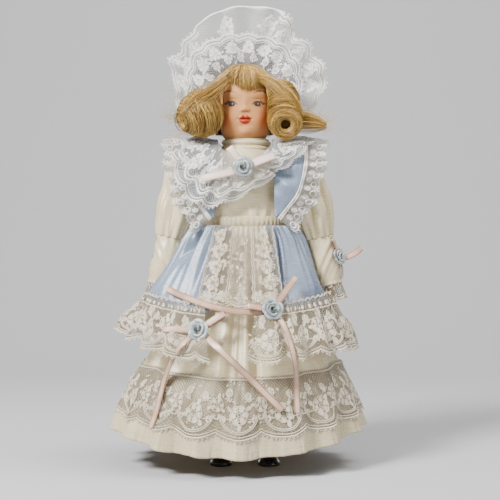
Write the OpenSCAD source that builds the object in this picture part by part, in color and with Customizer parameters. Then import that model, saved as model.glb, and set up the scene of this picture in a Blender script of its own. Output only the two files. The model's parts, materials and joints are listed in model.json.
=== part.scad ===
// Porcelain doll in a satin and lace dress, standing on the soles of its shoes.
// The doll faces -Y. Left and right are the doll's own, so its left hand is on +X.

/* [Overall] */
// Height of the top of the outer bonnet lace above the soles
total_h = 204; // [202:0.5:206]
// Height of the waist seam
waist_z = 108; // [107:0.5:109]
// Height of the shoulder joints
shoulder_z = 133; // [132.8:0.1:133.2]
// Height of the hip joints
hip_z = 92; // [91.6:0.1:92.4]
// Height of the middle of the head
head_z = 160; // [160:0.25:161]

/* [Head] */
// Radius of the bisque head at the cheeks
head_r = 11.8; // [11.4:0.1:12]
// Radius of the neck
neck_r = 7; // [6.8:0.1:7.1]
// Radius of the flange under the neck
flange_r = 9; // [8.8:0.1:9.1]
// Outer radius of each barrel curl
curl_r = 9.8; // [9:0.1:10]
// Radius of the bonnet crown
crown_r = 21; // [20.6:0.1:21.4]

/* [Arms] */
// Distance of each shoulder joint from the middle
shoulder_x = 25; // [24.9:0.1:25.4]
// How far forward or back the shoulder joints lie
shoulder_y = 2; // [1.8:0.1:2.2]
// Outward slope of each hanging arm in degrees
arm_slope = 13.4; // [13:0.1:14]
// Length from the shoulder joint to the fingertips
arm_len = 71.4; // [70:0.2:72]
// Largest radius of the puffed sleeve
puff_r = 8; // [7.6:0.1:8.1]

/* [Legs] */
// Distance of each hip joint from the middle
hip_x = 9.3; // [9.2:0.1:9.5]
// Radius of the stuffed thigh
thigh_r = 6.4; // [6:0.1:6.4]
// Length of each shoe
shoe_len = 22.5; // [22:0.5:23]
// Width of each shoe
shoe_w = 9.6; // [9:0.2:10]

/* [Dress] */
// Thickness of satin
satin_t = 0.7; // [0.6:0.05:0.75]
// Thickness of lace
lace_t = 0.6; // [0.5:0.05:0.65]
// Number of soft folds round the skirt
folds = 12; // [8:2:12]
// Depth of the skirt's folds at the hem, as a share of its radius
fold_depth = 0.024; // [0.01:0.002:0.026]
// Half angle of the open front of the overskirt
open_half = 22; // [20:1:24]
// Half angle that the lace apron covers
apron_half = 36; // [34:1:38]
// Height of the hem at the middle of the front
hem_z = 8.8; // [8:0.2:10]
// How much higher the hem lies at the sides
hem_lift = 7; // [5:0.5:8]

/* [Trim] */
// Diameter of the skirt and collar rosettes
rosette_d = 9.4; // [9:0.1:9.8]
// Width of the satin ribbon
ribbon_w = 3; // [2.6:0.1:3.2]
// Thickness of the satin ribbon
ribbon_t = 0.5; // [0.4:0.05:0.55]

/* [Hidden] */
$fn = 48;

cream = [0.89, 0.86, 0.75];
blue = [0.66, 0.72, 0.82];
lace = [0.87, 0.86, 0.83];
skin = [0.85, 0.68, 0.55];
hair = [0.76, 0.60, 0.38];
peach = [0.90, 0.78, 0.71];
rose = [0.69, 0.76, 0.78];
cloth = [0.86, 0.82, 0.74];
shoe_black = [0.06, 0.06, 0.07];

clear = 0.3;         // gap between pieces that move past each other
layer_gap = 0.3;     // gap between layers of the dress
front = 270;         // direction of -Y round the skirt
torso_y = 1;         // middle of the torso from front to back
hip_y = 1;           // middle of the legs from front to back
ring_sides = 48;     // facets round a full fabric ring

// Half width and half depth of the underskirt at each height.
skirt_w = [[0, 57], [9, 54.5], [20, 51.5], [41, 45], [50, 41], [64, 33.5], [72, 29], [80, 26.5],
           [90, 23.5], [100, 20.5], [waist_z, 18.2]];
skirt_d = [[0, 44], [9, 42], [20, 40.5], [41, 36.5], [50, 34], [64, 29], [72, 26], [80, 23.5],
           [90, 20], [100, 16], [waist_z, 13.2]];

function fold(z, a) = 1 + fold_depth * (waist_z - z) / waist_z * cos(folds * (a - front));

// A point on the skirt, `out` mm outside the underskirt; `lift` raises it at the sides.
function skirt_point(z, a, out, lift = 0) =
    [
        (lookup(z, skirt_w) + out) * fold(z, a) * cos(a),
        (lookup(z, skirt_d) + out) * fold(z, a) * sin(a),
        z + lift * cos(a) * cos(a)
    ];

function steps(a, b, n) = [for (i = [0:n]) a + (b - a) * i / n];

// Closed solid between two grids of points with the same rows and columns.
module thick_grid(outer, inner, closed = false) {
    rows = len(outer);
    cols = len(outer[0]);
    count = rows * cols;
    spans = closed ? cols : cols - 1;
    function at(i, j) = i * cols + j % cols;
    points = concat([for (r = outer) each r], [for (r = inner) each r]);
    skins = [for (i = [0:rows - 2]) for (j = [0:spans - 1]) each [
        [at(i, j), at(i + 1, j), at(i + 1, j + 1)],
        [at(i, j), at(i + 1, j + 1), at(i, j + 1)],
        [count + at(i, j), count + at(i + 1, j + 1), count + at(i + 1, j)],
        [count + at(i, j), count + at(i, j + 1), count + at(i + 1, j + 1)]
    ]];
    rims = [for (j = [0:spans - 1]) each [
        [at(0, j), at(0, j + 1), count + at(0, j + 1)],
        [at(0, j), count + at(0, j + 1), count + at(0, j)],
        [at(rows - 1, j), count + at(rows - 1, j + 1), at(rows - 1, j + 1)],
        [at(rows - 1, j), count + at(rows - 1, j), count + at(rows - 1, j + 1)]
    ]];
    last = cols - 1;
    ends = closed ? [] : [for (i = [0:rows - 2]) each [
        [at(i, 0), count + at(i, 0), count + at(i + 1, 0)],
        [at(i, 0), count + at(i + 1, 0), at(i + 1, 0)],
        [at(i, last), count + at(i + 1, last), count + at(i, last)],
        [at(i, last), at(i + 1, last), count + at(i + 1, last)]
    ]];
    polyhedron(points, concat(skins, rims, ends));
}

// Fabric band round the skirt. Each row is [height, how far outside the underskirt, side lift].
module skirt_band(rows, t, from = 0, to = 360) {
    closed = to - from >= 360;
    n = round(ring_sides * (to - from) / 360);
    angles = closed ? [for (i = [0:n - 1]) from + 360 * i / n] : steps(from, to, n);
    thick_grid(
        [for (r = rows) [for (a = angles) skirt_point(r[0], a, r[1], r[2])]],
        [for (r = rows) [for (a = angles) skirt_point(r[0], a, r[1] - t, r[2])]],
        closed
    );
}

// Oval fabric ring on a level axis. Each row is [height, half width, half depth].
module oval_band(rows, t, y) {
    angles = [for (i = [0:ring_sides - 1]) 360 * i / ring_sides];
    function ring(r, in) = [for (a = angles) [(r[1] - in) * cos(a), y + (r[2] - in) * sin(a), r[0]]];
    thick_grid([for (r = rows) ring(r, 0)], [for (r = rows) ring(r, t)], true);
}

// Ruffle round the face. Each row is [half width, height above its middle, y]; it starts and ends at
// the angles given, where 90 is straight up, and its waves grow outwards.
module face_ruffle(rows, t, from, to, waves, depth) {
    angles = steps(from, to, waves * 4);
    function ring(i, back) = [for (a = angles) [
        rows[i][0] * cos(a),
        rows[i][2] + back + depth * i * sin(waves * 360 * (a - from) / (to - from)),
        bonnet_z + rows[i][1] * sin(a)
    ]];
    thick_grid([for (i = [0:len(rows) - 1]) ring(i, 0)], [for (i = [0:len(rows) - 1]) ring(i, t)]);
}

// Rolled ribbon rose, facing -Y, its back at y = 0.
module rosette(d) {
    turns = [0.5, 0.36, 0.22];
    rotate([90, 0, 0]) {
        cylinder(d = d * 0.8, h = 1);
        for (i = [0:len(turns) - 1])
            translate([0, 0, 0.8]) rotate_extrude() translate([d * turns[i] - 0.75, 0])
                polygon([[-0.75, 0], [0.75, 0], [0.6, 1.1 + i * 0.3], [0, 1.5 + i * 0.35], [-0.6, 1.1 + i * 0.3]]);
        cylinder(d = 1.6, h = 3);
    }
}

function unit(v) = v / norm(v);

// Flat ribbon through the points given, with a facing direction for each.
module ribbon(points, facings) {
    last = len(points) - 1;
    function along(i) = unit(points[min(i + 1, last)] - points[max(i - 1, 0)]);
    function across(i) = unit(cross(facings[i], along(i))) * ribbon_w / 2;
    function lifted(i, h) = points[i] + unit(facings[i]) * h;
    thick_grid(
        [for (i = [0:last]) [lifted(i, ribbon_t) - across(i), lifted(i, ribbon_t) + across(i)]],
        [for (i = [0:last]) [lifted(i, 0) - across(i), lifted(i, 0) + across(i)]]
    );
}

// Ribbon that lies on the front of the skirt through points given as [x, z, distance off the underskirt].
module skirt_ribbon(route) {
    function depth(p) = let (w = lookup(p[1], skirt_w) + p[2], d = lookup(p[1], skirt_d) + p[2])
        -d * sqrt(1 - pow(p[0] / w, 2));
    function facing(p) = let (w = lookup(p[1], skirt_w), d = lookup(p[1], skirt_d))
        [p[0] / (w * w), depth(p) / (d * d), 0.012];
    ribbon([for (p = route) [p[0], depth(p), p[1]]], [for (p = route) facing(p)]);
}

bonnet_z = head_z + 3;
bonnet_top = total_h - bonnet_z;
bonnet_y = 3;        // where the brim leaves the crown, behind the middle of the head
head_y = 1;          // middle of the head from front to back
shell_t = 1.5;
hairline = head_z + 6;

head_up = 14;         // half the height of the head

// Half of the head's outline, `out` mm outside the bisque, from the height given up to the crown.
function head_outline(out, low) = [
    for (a = steps(asin(max(-1, (low - head_z) / head_up)), 90, 14))
        [(head_r + out) * cos(a), head_z + (head_up + out) * sin(a)]
];

module head_shell() {
    flange_z = 132;
    flange_h = 2;
    open_r = 7.5;
    color(skin) translate([0, head_y, 0]) difference() {
        union() {
            rotate_extrude() polygon(concat([[0, head_z - head_up]], head_outline(0, head_z - head_up)));
            translate([0, 0, flange_z]) cylinder(r = neck_r, h = head_z - 10 - flange_z);
            translate([0, 0, flange_z]) cylinder(r = flange_r, h = flange_h);
            translate([0, -head_r - 0.6, head_z - 2.5]) sphere(r = 1.3);
        }
        rotate_extrude() polygon(concat([[0, head_z - 12.2]], head_outline(-shell_t, head_z - 12.2)));
        translate([0, 0, flange_z - 1]) cylinder(r = neck_r - shell_t, h = head_z - flange_z);
        translate([0, 0, head_z + 8]) cylinder(r = open_r, h = 20);
    }
}

module wig_cap() {
    color(hair) translate([0, head_y, 0]) rotate_extrude() polygon(concat(
        head_outline(0.2, hairline),
        [for (i = [14:-1:0]) head_outline(1.2, hairline)[i]]
    ));
}

// Hair outside the wig cap between two directions round the head.
module hair_lock(low, high, t, from, to) {
    color(hair) translate([0, head_y, 0]) rotate([0, 0, from]) rotate_extrude(angle = to - from)
        polygon(concat(
            [for (z = steps(low, high, 6)) [head_side(z) + 1.4, z]],
            [for (z = steps(high, low, 6)) [head_side(z) + 1.4 + t, z]]
        ));
}

function head_side(z) = head_r * sqrt(max(0, 1 - pow((z - head_z) / (head_up + 1.4), 2)));

module back_hair() { hair_lock(head_z - 12, head_z + 5.5, 3, 14, 166); }
module hair_fringe() { hair_lock(hairline + 0.3, head_z + 13, 2.2, 205, 335); }

// Barrel curl with an open middle, its axis running from front to back.
module curl() {
    hole = 2.6;
    len_y = 13;
    round = 4;
    // Its back end stays in front of the lace round the face.
    color(hair) translate([head_r + curl_r - 2.2, -13.2, head_z - 2.4]) rotate([90, 0, 0])
        rotate_extrude() polygon(concat(
            [[hole, -len_y / 2 + 1.5], [hole, len_y / 2 - 1.5]],
            [for (a = steps(90, 0, 5)) [curl_r - round + round * cos(a), len_y / 2 - round + round * sin(a)]],
            [for (a = steps(0, -90, 5)) [curl_r - round + round * cos(a), -len_y / 2 + round + round * sin(a)]]
        ));
}

module bonnet_crown() {
    // The crown is a dome behind the head, cut off level above the collar.
    low = 147;
    color(cream) difference() {
        translate([0, bonnet_y, bonnet_z]) rotate([-90, 0, 0]) rotate_extrude() polygon(concat(
            [for (a = steps(0, 90, 12)) [crown_r * cos(a), 18 * sin(a)]],
            [for (a = steps(90, 0, 12)) [(crown_r - satin_t) * cos(a), (18 - satin_t) * sin(a)]]
        ));
        translate([-40, -40, low - 40]) cube([80, 80, 40]);
    }
}

brim_from = -8;
module bonnet_brim() {
    color(blue) face_ruffle(
        [[crown_r, crown_r, bonnet_y - 1.4], [25, 27, bonnet_y - 2.6], [30, 34, bonnet_y - 3.2]],
        satin_t, brim_from, 180 - brim_from, 16, 0);
}

module bonnet_outer_lace() {
    color(lace) face_ruffle(
        [[crown_r + 1, crown_r + 1, bonnet_y - 3.2], [28, 31, bonnet_y - 5.2], [34.6, bonnet_top, bonnet_y - 4.4]],
        lace_t, brim_from, 180 - brim_from, 18, 0.3);
}

module bonnet_inner_lace() {
    color(lace) face_ruffle(
        [[crown_r - 1, crown_r - 2, bonnet_y - 5.4], [23.5, 24, bonnet_y - 8.6], [25.8, 28.3, bonnet_y - 8.6]],
        lace_t, brim_from + 3, 177 - brim_from, 16, 0.25);
}

arm_top_r = 5;       // rounded top of the upper arm
arm_top_half = 4.4;
thigh_top_half = 6.2;
stub_r = 4;

// Stuffed torso with a pocket for the head's flange, cups for the hips and a cup at each shoulder.
module cloth_torso() {
    body_r = 9.4;
    body_half = 4.2;
    color(cloth) difference() {
        union() {
            translate([0, torso_y, hip_z]) linear_extrude(37.2) polygon([
                for (a = [-84:12:84]) [body_half + body_r * cos(a), body_r * sin(a)],
                for (a = [96:12:264]) [-body_half + body_r * cos(a), body_r * sin(a)]
            ]);
            translate([0, torso_y, hip_z + 37]) cylinder(r = 10.4, h = 10.4);
            translate([-21.4, shoulder_y, shoulder_z]) rotate([0, 90, 0]) cylinder(r = stub_r, h = 42.8);
        }
        translate([0, head_y, 132 - clear]) cylinder(r = flange_r + clear, h = 2 + 2 * clear);
        translate([0, head_y, 132]) cylinder(r = neck_r + clear, h = 20);
        for (s = [-1, 1]) {
            translate([s * hip_x - thigh_top_half - clear, hip_y, hip_z]) rotate([0, 90, 0])
                cylinder(r = thigh_r + clear, h = 2 * (thigh_top_half + clear));
            translate([s * shoulder_x, shoulder_y - 8, shoulder_z]) rotate([-90, 0, 0])
                cylinder(r = arm_top_r + clear, h = 16);
        }
    }
}

// Twisted thread wound round the cloth above the flange.
module neck_tie() {
    color(cream) translate([0, torso_y, 138.4]) rotate_extrude() translate([11, 0]) circle(r = 0.5, $fn = 16);
}

module neck_band() {
    color(cream) translate([0, torso_y, 0]) difference() {
        union() {
            translate([0, 0, 140.2]) cylinder(r = 10.4, h = 4.8);
            for (z = [141.2, 142.8, 144.3])
                translate([0, 0, z]) rotate_extrude() translate([10.4, 0]) circle(r = 0.5, $fn = 16);
        }
        translate([0, 0, 139]) cylinder(r = 8.2, h = 8);
    }
}

// Satin bodice with an armhole at each side for the cloth shoulders.
module bodice() {
    color(cream) difference() {
        oval_band(
            [[139.8, 12.4, 12.4], [136, 14, 12.8], [130, 15.2, 12.2], [120, 15.6, 12], [waist_z + 0.4, 15.6, 11.6]],
            satin_t, torso_y);
        translate([-30, shoulder_y, shoulder_z]) rotate([0, 90, 0]) cylinder(r = stub_r + clear, h = 60);
    }
}

module waistband() {
    color(cream) oval_band([[waist_z + 2.4, 16.8, 12.8], [waist_z, 17, 13], [waist_z - 2, 16.8, 12.8]], 0.8, torso_y);
}

// Band that goes over one shoulder from `low` in front to `low` behind, `r` mm from the arch's middle.
arch_z = 128;
module shoulder_arch(r, t, x0, x1, low) {
    translate([x0, shoulder_y, arch_z]) rotate([0, 90, 0]) {
        rotate([0, 0, 90]) rotate_extrude(angle = 180) translate([r, 0]) square([t, x1 - x0]);
    }
    for (y = [shoulder_y - r - t, shoulder_y + r])
        translate([x0, y, low]) cube([x1 - x0, t, arch_z - low]);
}

module shoulder_panel() { color(blue) shoulder_arch(14.3, satin_t, 12, 22, waist_z + 3); }

module shoulder_lace() {
    color(lace) shoulder_arch(15.4, lace_t, 21, 36, 118);
}

// Wide lace that falls from the neck over the front of one shoulder.
module collar_lace() {
    color(lace) translate([0, -15.1, 0]) rotate([90, 0, 0]) linear_extrude(lace_t)
        polygon([[8, 140.5], [20, 143], [34, 142], [35.5, 134], [30, 123], [22, 117.5], [14, 119.5], [7, 128.5], [4.6, 133]]);
}

module collar_bow() {
    y = -16.6;
    color(peach) {
        ribbon([for (p = [[3.6, 133.4], [8, 135], [12.6, 137.2]]) [p[0], y, p[1]]], [for (i = [0:2]) [0, -1, 0]]);
        ribbon([for (p = [[-3, 135.6], [-5.4, 138], [-7.4, 140.6]]) [p[0], y, p[1]]], [for (i = [0:2]) [0, -1, 0]]);
        ribbon([for (p = [[-4.6, 131.2], [-11, 129], [-18.5, 127]]) [p[0], y, p[1]]], [for (i = [0:2]) [0, -1, 0]]);
    }
}

module collar_rosette() { color(rose) translate([0, -17.2, 132.6]) rosette(rosette_d); }

// The skirt's layers, from the inside out. Distances are from the underskirt's outer face.
over_out = layer_gap + satin_t;
apron_out = over_out + layer_gap + lace_t;
hem_out = layer_gap + satin_t;
hem_lace_out = hem_out + layer_gap + lace_t;
skirt_top = waist_z - 2.3;
open_from = front + open_half;
open_to = front - open_half + 360;

module underskirt() {
    color(cream) skirt_band([for (z = [skirt_top, 100, 90, 72, 56, 41]) [z, 0, 0]], satin_t);
}

module overskirt() {
    color(blue) skirt_band([for (z = [skirt_top, 100, 90, 80, 69]) [z, over_out, 0]], satin_t,
        open_from, open_to);
}

module apron_lace() {
    color(lace) skirt_band([for (z = [skirt_top, 98, 84, 76, 70]) [z, apron_out, 0]], lace_t,
        front - apron_half, front + apron_half);
}

module overskirt_flounce() {
    color(lace) skirt_band(
        [[68.4, over_out, 0], [62, over_out + 3.4, 0], [55, over_out + 6, 0], [47, over_out + 7.2, 0]],
        lace_t, open_from, open_to);
}

module hem_flounce() {
    color(cream) skirt_band(
        [[42, hem_out, 0], [32, hem_out + 0.8, 2], [20, hem_out + 1, 5], [hem_z, hem_out + 1.2, hem_lift]], satin_t);
}

module hem_lace() {
    color(lace) skirt_band(
        [[41.4, hem_lace_out + 0.2, 0], [32, hem_lace_out + 1, 2], [18, hem_lace_out + 1.2, 5.6]], lace_t);
}

bow_out = 9.6;       // ribbons stand this far outside the underskirt, over the flounce
module left_skirt_bow() {
    color(peach) {
        skirt_ribbon([[8.6, 69.6, 3.4], [-4, 71.6, 3.2], [-16, 73.4, 3.2], [-26, 75, 3.2]]);
        skirt_ribbon([[14, 72.4, 3.4], [18, 76, 3], [21, 80, 3]]);
        skirt_ribbon([[14.6, 63.4, 5.8], [18, 54, bow_out - 0.4], [21, 42, bow_out - 1.6], [24, 27, 6]]);
    }
}

module right_skirt_bow() {
    color(peach) {
        skirt_ribbon([[-25, 60.6, 7.4], [-30, 60.4, 7.4], [-35.5, 60, 7.4]]);
        skirt_ribbon([[-15.4, 62, 6], [-12, 63.6, 5.4], [-9, 64.8, 5]]);
        skirt_ribbon([[-23, 56.6, bow_out - 1], [-29, 46, bow_out], [-35, 32, 6], [-40, 18, 5.4]]);
        skirt_ribbon([[-16.2, 57, bow_out - 1.6], [-4, 47, bow_out - 1], [6, 36, 6], [15, 24, 5.6]]);
    }
}

// Rosette on the front of the skirt at [x, z], standing `off` mm outside the underskirt.
module skirt_rosette(x, z, off) {
    w = lookup(z, skirt_w) + off;
    d = lookup(z, skirt_d) + off;
    lean = 28;
    turn = atan2(x / (w * w), sqrt(1 - pow(x / w, 2)) / d);
    color(rose) translate([x, -d * sqrt(1 - pow(x / w, 2)), z]) rotate([0, 0, turn]) rotate([-lean, 0, 0])
        rosette(rosette_d);
}

module left_skirt_rosette() { skirt_rosette(12.2, 68.4, 4.6); }
module right_skirt_rosette() { skirt_rosette(-20, 60.3, 8.6); }

// Three press studs of the back closing, on the outside of the bodice.
module back_snaps() {
    color("silver") for (z = [114, 124, 134])
        translate([0, torso_y + 12.75, z]) rotate([-90, 0, 0]) cylinder(d = 3, h = 1, $fn = 24);
}

// Places a piece in the left arm's own frame: the shoulder joint at 0, the arm along -Z.
module on_arm() {
    translate([shoulder_x, shoulder_y, shoulder_z]) rotate([0, -arm_slope, 0]) children();
}

elbow = -34;
cuff = -55;
wrist = -60;

module upper_arm() {
    color(cloth) on_arm() {
        rotate_extrude() polygon([[0, elbow + 2], [4.2, elbow + 2], [4.3, -12], [4.4, 0], [0, 0]]);
        translate([0, -arm_top_half, 0]) rotate([-90, 0, 0]) cylinder(r = arm_top_r, h = 2 * arm_top_half);
    }
}

module forearm() {
    hand_w = 5;
    color(skin) on_arm() {
        rotate_extrude() polygon([[0, elbow + 1.9], [3.4, elbow + 1.9], [3.2, elbow - 2], [3.7, elbow - 8],
                                  [2.6, wrist], [2.5, wrist - 2], [0, wrist - 2]]);
        hull() {
            translate([0, 0, wrist - 1.5]) sphere(r = 2.3, $fn = 24);
            translate([0, -0.6, wrist - 6]) scale([0.7, 1, 1]) sphere(r = hand_w / 2, $fn = 24);
            translate([0, 0.3, -arm_len + 1.5]) sphere(r = 1.4, $fn = 24);
        }
        hull() {
            translate([0, -1.8, wrist - 3.4]) sphere(r = 0.9, $fn = 20);
            translate([-0.6, -3.3, wrist - 7]) sphere(r = 0.7, $fn = 20);
        }
    }
}

// Thread wound round the cloth where it grips the porcelain.
module arm_tie() {
    color(cream) on_arm() translate([0, 0, elbow + 4]) rotate_extrude() translate([4.95, 0]) circle(r = 0.45, $fn = 16);
}

module sleeve() {
    color(cream) on_arm() rotate_extrude() polygon([
        [6.2, -5.6], [7.2, -11], [puff_r, -19], [puff_r - 0.2, -26], [6.9, -31], [6.3, elbow],
        [6.3 - satin_t, elbow], [6.9 - satin_t, -30.4], [puff_r - 0.2 - satin_t, -25.6],
        [puff_r - satin_t, -19], [7.2 - satin_t, -11.4], [6.2 - satin_t, -5.6]
    ]);
}

module lower_sleeve() {
    color(cream) on_arm() rotate_extrude() polygon([
        [6.3, elbow - 0.2], [6.5, -44], [5.6, cuff], [5.6 - satin_t, cuff], [6.5 - satin_t, -44], [6.3 - satin_t, elbow - 0.2]
    ]);
}

module cuff_lace() {
    color(lace) on_arm() rotate_extrude() polygon([
        [4.7, cuff + 0.6], [4.8, cuff - 1], [5.6, cuff - 7], [5.6 - lace_t, cuff - 7], [4.8 - lace_t, cuff - 1], [4.7 - lace_t, cuff + 0.6]
    ]);
}

module wrist_bow() {
    side = 6.9;
    z = -44;
    color(peach) on_arm() {
        ribbon([[side, 0, z + 3.4], [side + 0.6, 0, z + 5.6], [side + 1.2, 0, z + 9]], [for (i = [0:2]) [1, 0, 0]]);
        ribbon([[side, 0, z - 3.4], [side + 0.6, 0, z - 6.4], [side + 0.2, 0, z - 11.4]], [for (i = [0:2]) [1, 0, 0]]);
    }
}

module wrist_rosette() {
    color(rose) on_arm() translate([7.4, 0, -44]) rotate([0, 0, 90]) rosette(8);
}

knee = 50;
ankle = 9;
foot_x = 10.6;
foot_y = -2;

module thigh() {
    color(cloth) translate([hip_x, hip_y, 0]) {
        rotate_extrude() polygon([[0, knee + 3], [4.8, knee + 3], [5.4, knee + 16], [thigh_r - 0.3, hip_z - 10],
                                  [thigh_r - 0.3, hip_z], [0, hip_z]]);
        translate([-thigh_top_half, 0, hip_z]) rotate([0, 90, 0]) cylinder(r = thigh_r, h = 2 * thigh_top_half);
    }
}

module lower_leg() {
    color(skin) translate([hip_x, hip_y, 0]) {
        rotate_extrude() polygon([[0, knee + 2.9], [4, knee + 2.9], [3.8, knee - 2], [4.6, knee - 10], [4.3, 26],
                                  [3, 14], [2.8, ankle], [0, ankle]]);
        translate([foot_x - hip_x, 0, 0]) hull() {
            translate([0, 0, 5]) cylinder(r = 2.6, h = 5, $fn = 32);
            translate([0, foot_y - shoe_len / 2 + 6.4, 4]) sphere(r = 2, $fn = 24);
        }
    }
}

module leg_tie() {
    color(cream) translate([hip_x, hip_y, knee + 6]) rotate_extrude() translate([5.6, 0]) circle(r = 0.45, $fn = 16);
}

// Shoe with a flat sole, a rounded toe and a foot-shaped hollow.
module shoe() {
    sole_t = 1.4;
    upper_h = 7.5;
    heel_r = shoe_w / 2 - 0.6;
    toe = foot_y - shoe_len / 2 + shoe_w / 2;
    heel = foot_y + shoe_len / 2 - heel_r;
    color(shoe_black) translate([foot_x, 0, 0]) difference() {
        union() {
            for (y = [toe, heel]) translate([0, y, 0])
                cylinder(r = y == toe ? shoe_w / 2 : heel_r, h = sole_t);
            translate([-heel_r, toe, 0]) cube([2 * heel_r, heel - toe, sole_t]);
            hull() {
                translate([0, toe, sole_t]) cylinder(r = shoe_w / 2 - 0.5, h = 2, $fn = 32);
                translate([0, toe + 0.8, 4]) sphere(r = 3, $fn = 32);
                translate([0, heel, sole_t]) cylinder(r = heel_r - 0.4, h = upper_h - sole_t, $fn = 32);
                translate([0, heel - 6, sole_t]) cylinder(r = heel_r - 0.6, h = upper_h - sole_t - 1, $fn = 32);
            }
        }
        hull() {
            translate([0, hip_y, 4.8]) cylinder(r = 2.9, h = 6, $fn = 32);
            translate([0, foot_y - shoe_len / 2 + 6.4, 4]) sphere(r = 2.25, $fn = 24);
        }
        translate([hip_x - foot_x, hip_y, 4.8]) cylinder(r = 3.2, h = 10);
    }
}

module right_side() { mirror([1, 0, 0]) children(); }

head_shell();
wig_cap();
back_hair();
hair_fringe();
curl();  // left_curl
right_side() curl();  // right_curl
bonnet_crown();
bonnet_brim();
bonnet_outer_lace();
bonnet_inner_lace();
cloth_torso();
neck_tie();
neck_band();
bodice();
waistband();
shoulder_panel();  // left_shoulder_panel
right_side() shoulder_panel();  // right_shoulder_panel
shoulder_lace();  // left_shoulder_lace
right_side() shoulder_lace();  // right_shoulder_lace
collar_lace();  // left_collar_lace
right_side() collar_lace();  // right_collar_lace
collar_bow();
collar_rosette();
underskirt();
overskirt();
apron_lace();
overskirt_flounce();
hem_flounce();
hem_lace();
left_skirt_bow();
right_skirt_bow();
left_skirt_rosette();
right_skirt_rosette();
back_snaps();
upper_arm();  // left_upper_arm
right_side() upper_arm();  // right_upper_arm
forearm();  // left_forearm
right_side() forearm();  // right_forearm
arm_tie();  // left_arm_tie
right_side() arm_tie();  // right_arm_tie
sleeve();  // left_sleeve
right_side() sleeve();  // right_sleeve
lower_sleeve();  // left_lower_sleeve
right_side() lower_sleeve();  // right_lower_sleeve
cuff_lace();  // left_cuff_lace
right_side() cuff_lace();  // right_cuff_lace
wrist_bow();  // left_wrist_bow
right_side() wrist_bow();  // right_wrist_bow
wrist_rosette();  // left_wrist_rosette
right_side() wrist_rosette();  // right_wrist_rosette
thigh();  // left_thigh
right_side() thigh();  // right_thigh
lower_leg();  // left_lower_leg
right_side() lower_leg();  // right_lower_leg
leg_tie();  // left_leg_tie
right_side() leg_tie();  // right_leg_tie
shoe();  // left_shoe
right_side() shoe();  // right_shoe
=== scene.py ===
import json
import math
import random
from functools import partial

import bpy
import numpy as np
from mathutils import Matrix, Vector

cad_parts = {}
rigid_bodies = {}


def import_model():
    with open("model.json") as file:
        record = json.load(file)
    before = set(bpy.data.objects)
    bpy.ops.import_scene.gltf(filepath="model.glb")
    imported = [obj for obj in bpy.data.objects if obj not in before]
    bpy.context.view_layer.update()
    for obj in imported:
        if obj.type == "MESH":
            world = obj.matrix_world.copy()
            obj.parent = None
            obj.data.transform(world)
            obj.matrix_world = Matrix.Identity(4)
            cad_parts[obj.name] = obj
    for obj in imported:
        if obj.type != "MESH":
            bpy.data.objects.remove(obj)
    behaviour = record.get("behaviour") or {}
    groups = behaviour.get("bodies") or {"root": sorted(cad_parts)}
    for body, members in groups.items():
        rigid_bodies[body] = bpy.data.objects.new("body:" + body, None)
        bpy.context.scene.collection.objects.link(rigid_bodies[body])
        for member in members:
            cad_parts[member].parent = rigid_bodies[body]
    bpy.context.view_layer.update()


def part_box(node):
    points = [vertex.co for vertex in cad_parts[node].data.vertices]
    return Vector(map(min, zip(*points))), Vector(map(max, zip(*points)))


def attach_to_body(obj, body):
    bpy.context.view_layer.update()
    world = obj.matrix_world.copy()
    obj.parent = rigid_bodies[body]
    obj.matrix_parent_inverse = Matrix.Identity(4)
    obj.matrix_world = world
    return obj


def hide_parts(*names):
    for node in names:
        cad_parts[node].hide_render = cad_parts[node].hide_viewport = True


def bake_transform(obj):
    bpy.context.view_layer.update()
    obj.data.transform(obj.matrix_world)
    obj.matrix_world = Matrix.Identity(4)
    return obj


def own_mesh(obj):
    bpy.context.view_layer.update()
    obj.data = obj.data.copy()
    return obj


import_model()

# A porcelain doll in satin and lace. Lengths in this script are millimetres until a mesh is made.
# The doll faces -Y, and left and right are its own: its left hand is on +X.

MM = 0.001
TAU = 2 * math.pi
HALF_BAND = 2.4
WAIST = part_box("waistband")[1][2] / MM - HALF_BAND
# Hinges of the left arm and leg; the right ones mirror them.
SHOULDER = (25.0, 2.0, 133.0)
HIP = (9.3, 1.0, 92.0)
# An arm at rest leans out from the body by this angle.
ARM_SLOPE = math.radians(13.4)
# The doll's front as a direction round its axis.
FRONT = -TAU / 4


# ---------------------------------------------------------------- camera, light and floor

LENS, SENSOR = 82, 36
CAMERA_PLACE = (0.00225, -0.512, 0.095)
FLOOR_GREY = (0.46, 0.46, 0.465, 1)
AIR_TINT, AIR_STRENGTH = (0.9, 0.93, 1, 1), 0.13
DOLL_MIDDLE, BACKDROP_MIDDLE = (0, 0, 0.1), (0, 0.7, 0.25)
# The four lamps: name, size in metres, watts, place and what it points at.
LAMPS = [
    ("key_light", 0.22, 16.4, (-0.42, -0.45, 0.59), DOLL_MIDDLE),
    ("fill_light", 0.6, 2.2, (0.75, -0.75, 0.35), DOLL_MIDDLE),
    ("top_light", 0.3, 3.6, (0.34, -0.06, 0.80), DOLL_MIDDLE),
    ("backdrop_light", 0.9, 6.0, (0.3, -0.05, 0.85), BACKDROP_MIDDLE)]


def add_object(name, data):
    thing = bpy.data.objects.new(name, data)
    bpy.context.scene.collection.objects.link(thing)
    return thing


def set_camera():
    camera = add_object("camera", bpy.data.cameras.new("camera"))
    camera.data.lens = LENS
    camera.data.sensor_width = SENSOR
    camera.location = CAMERA_PLACE
    camera.rotation_euler = (TAU / 4, 0, 0)
    bpy.context.scene.camera = camera


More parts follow.
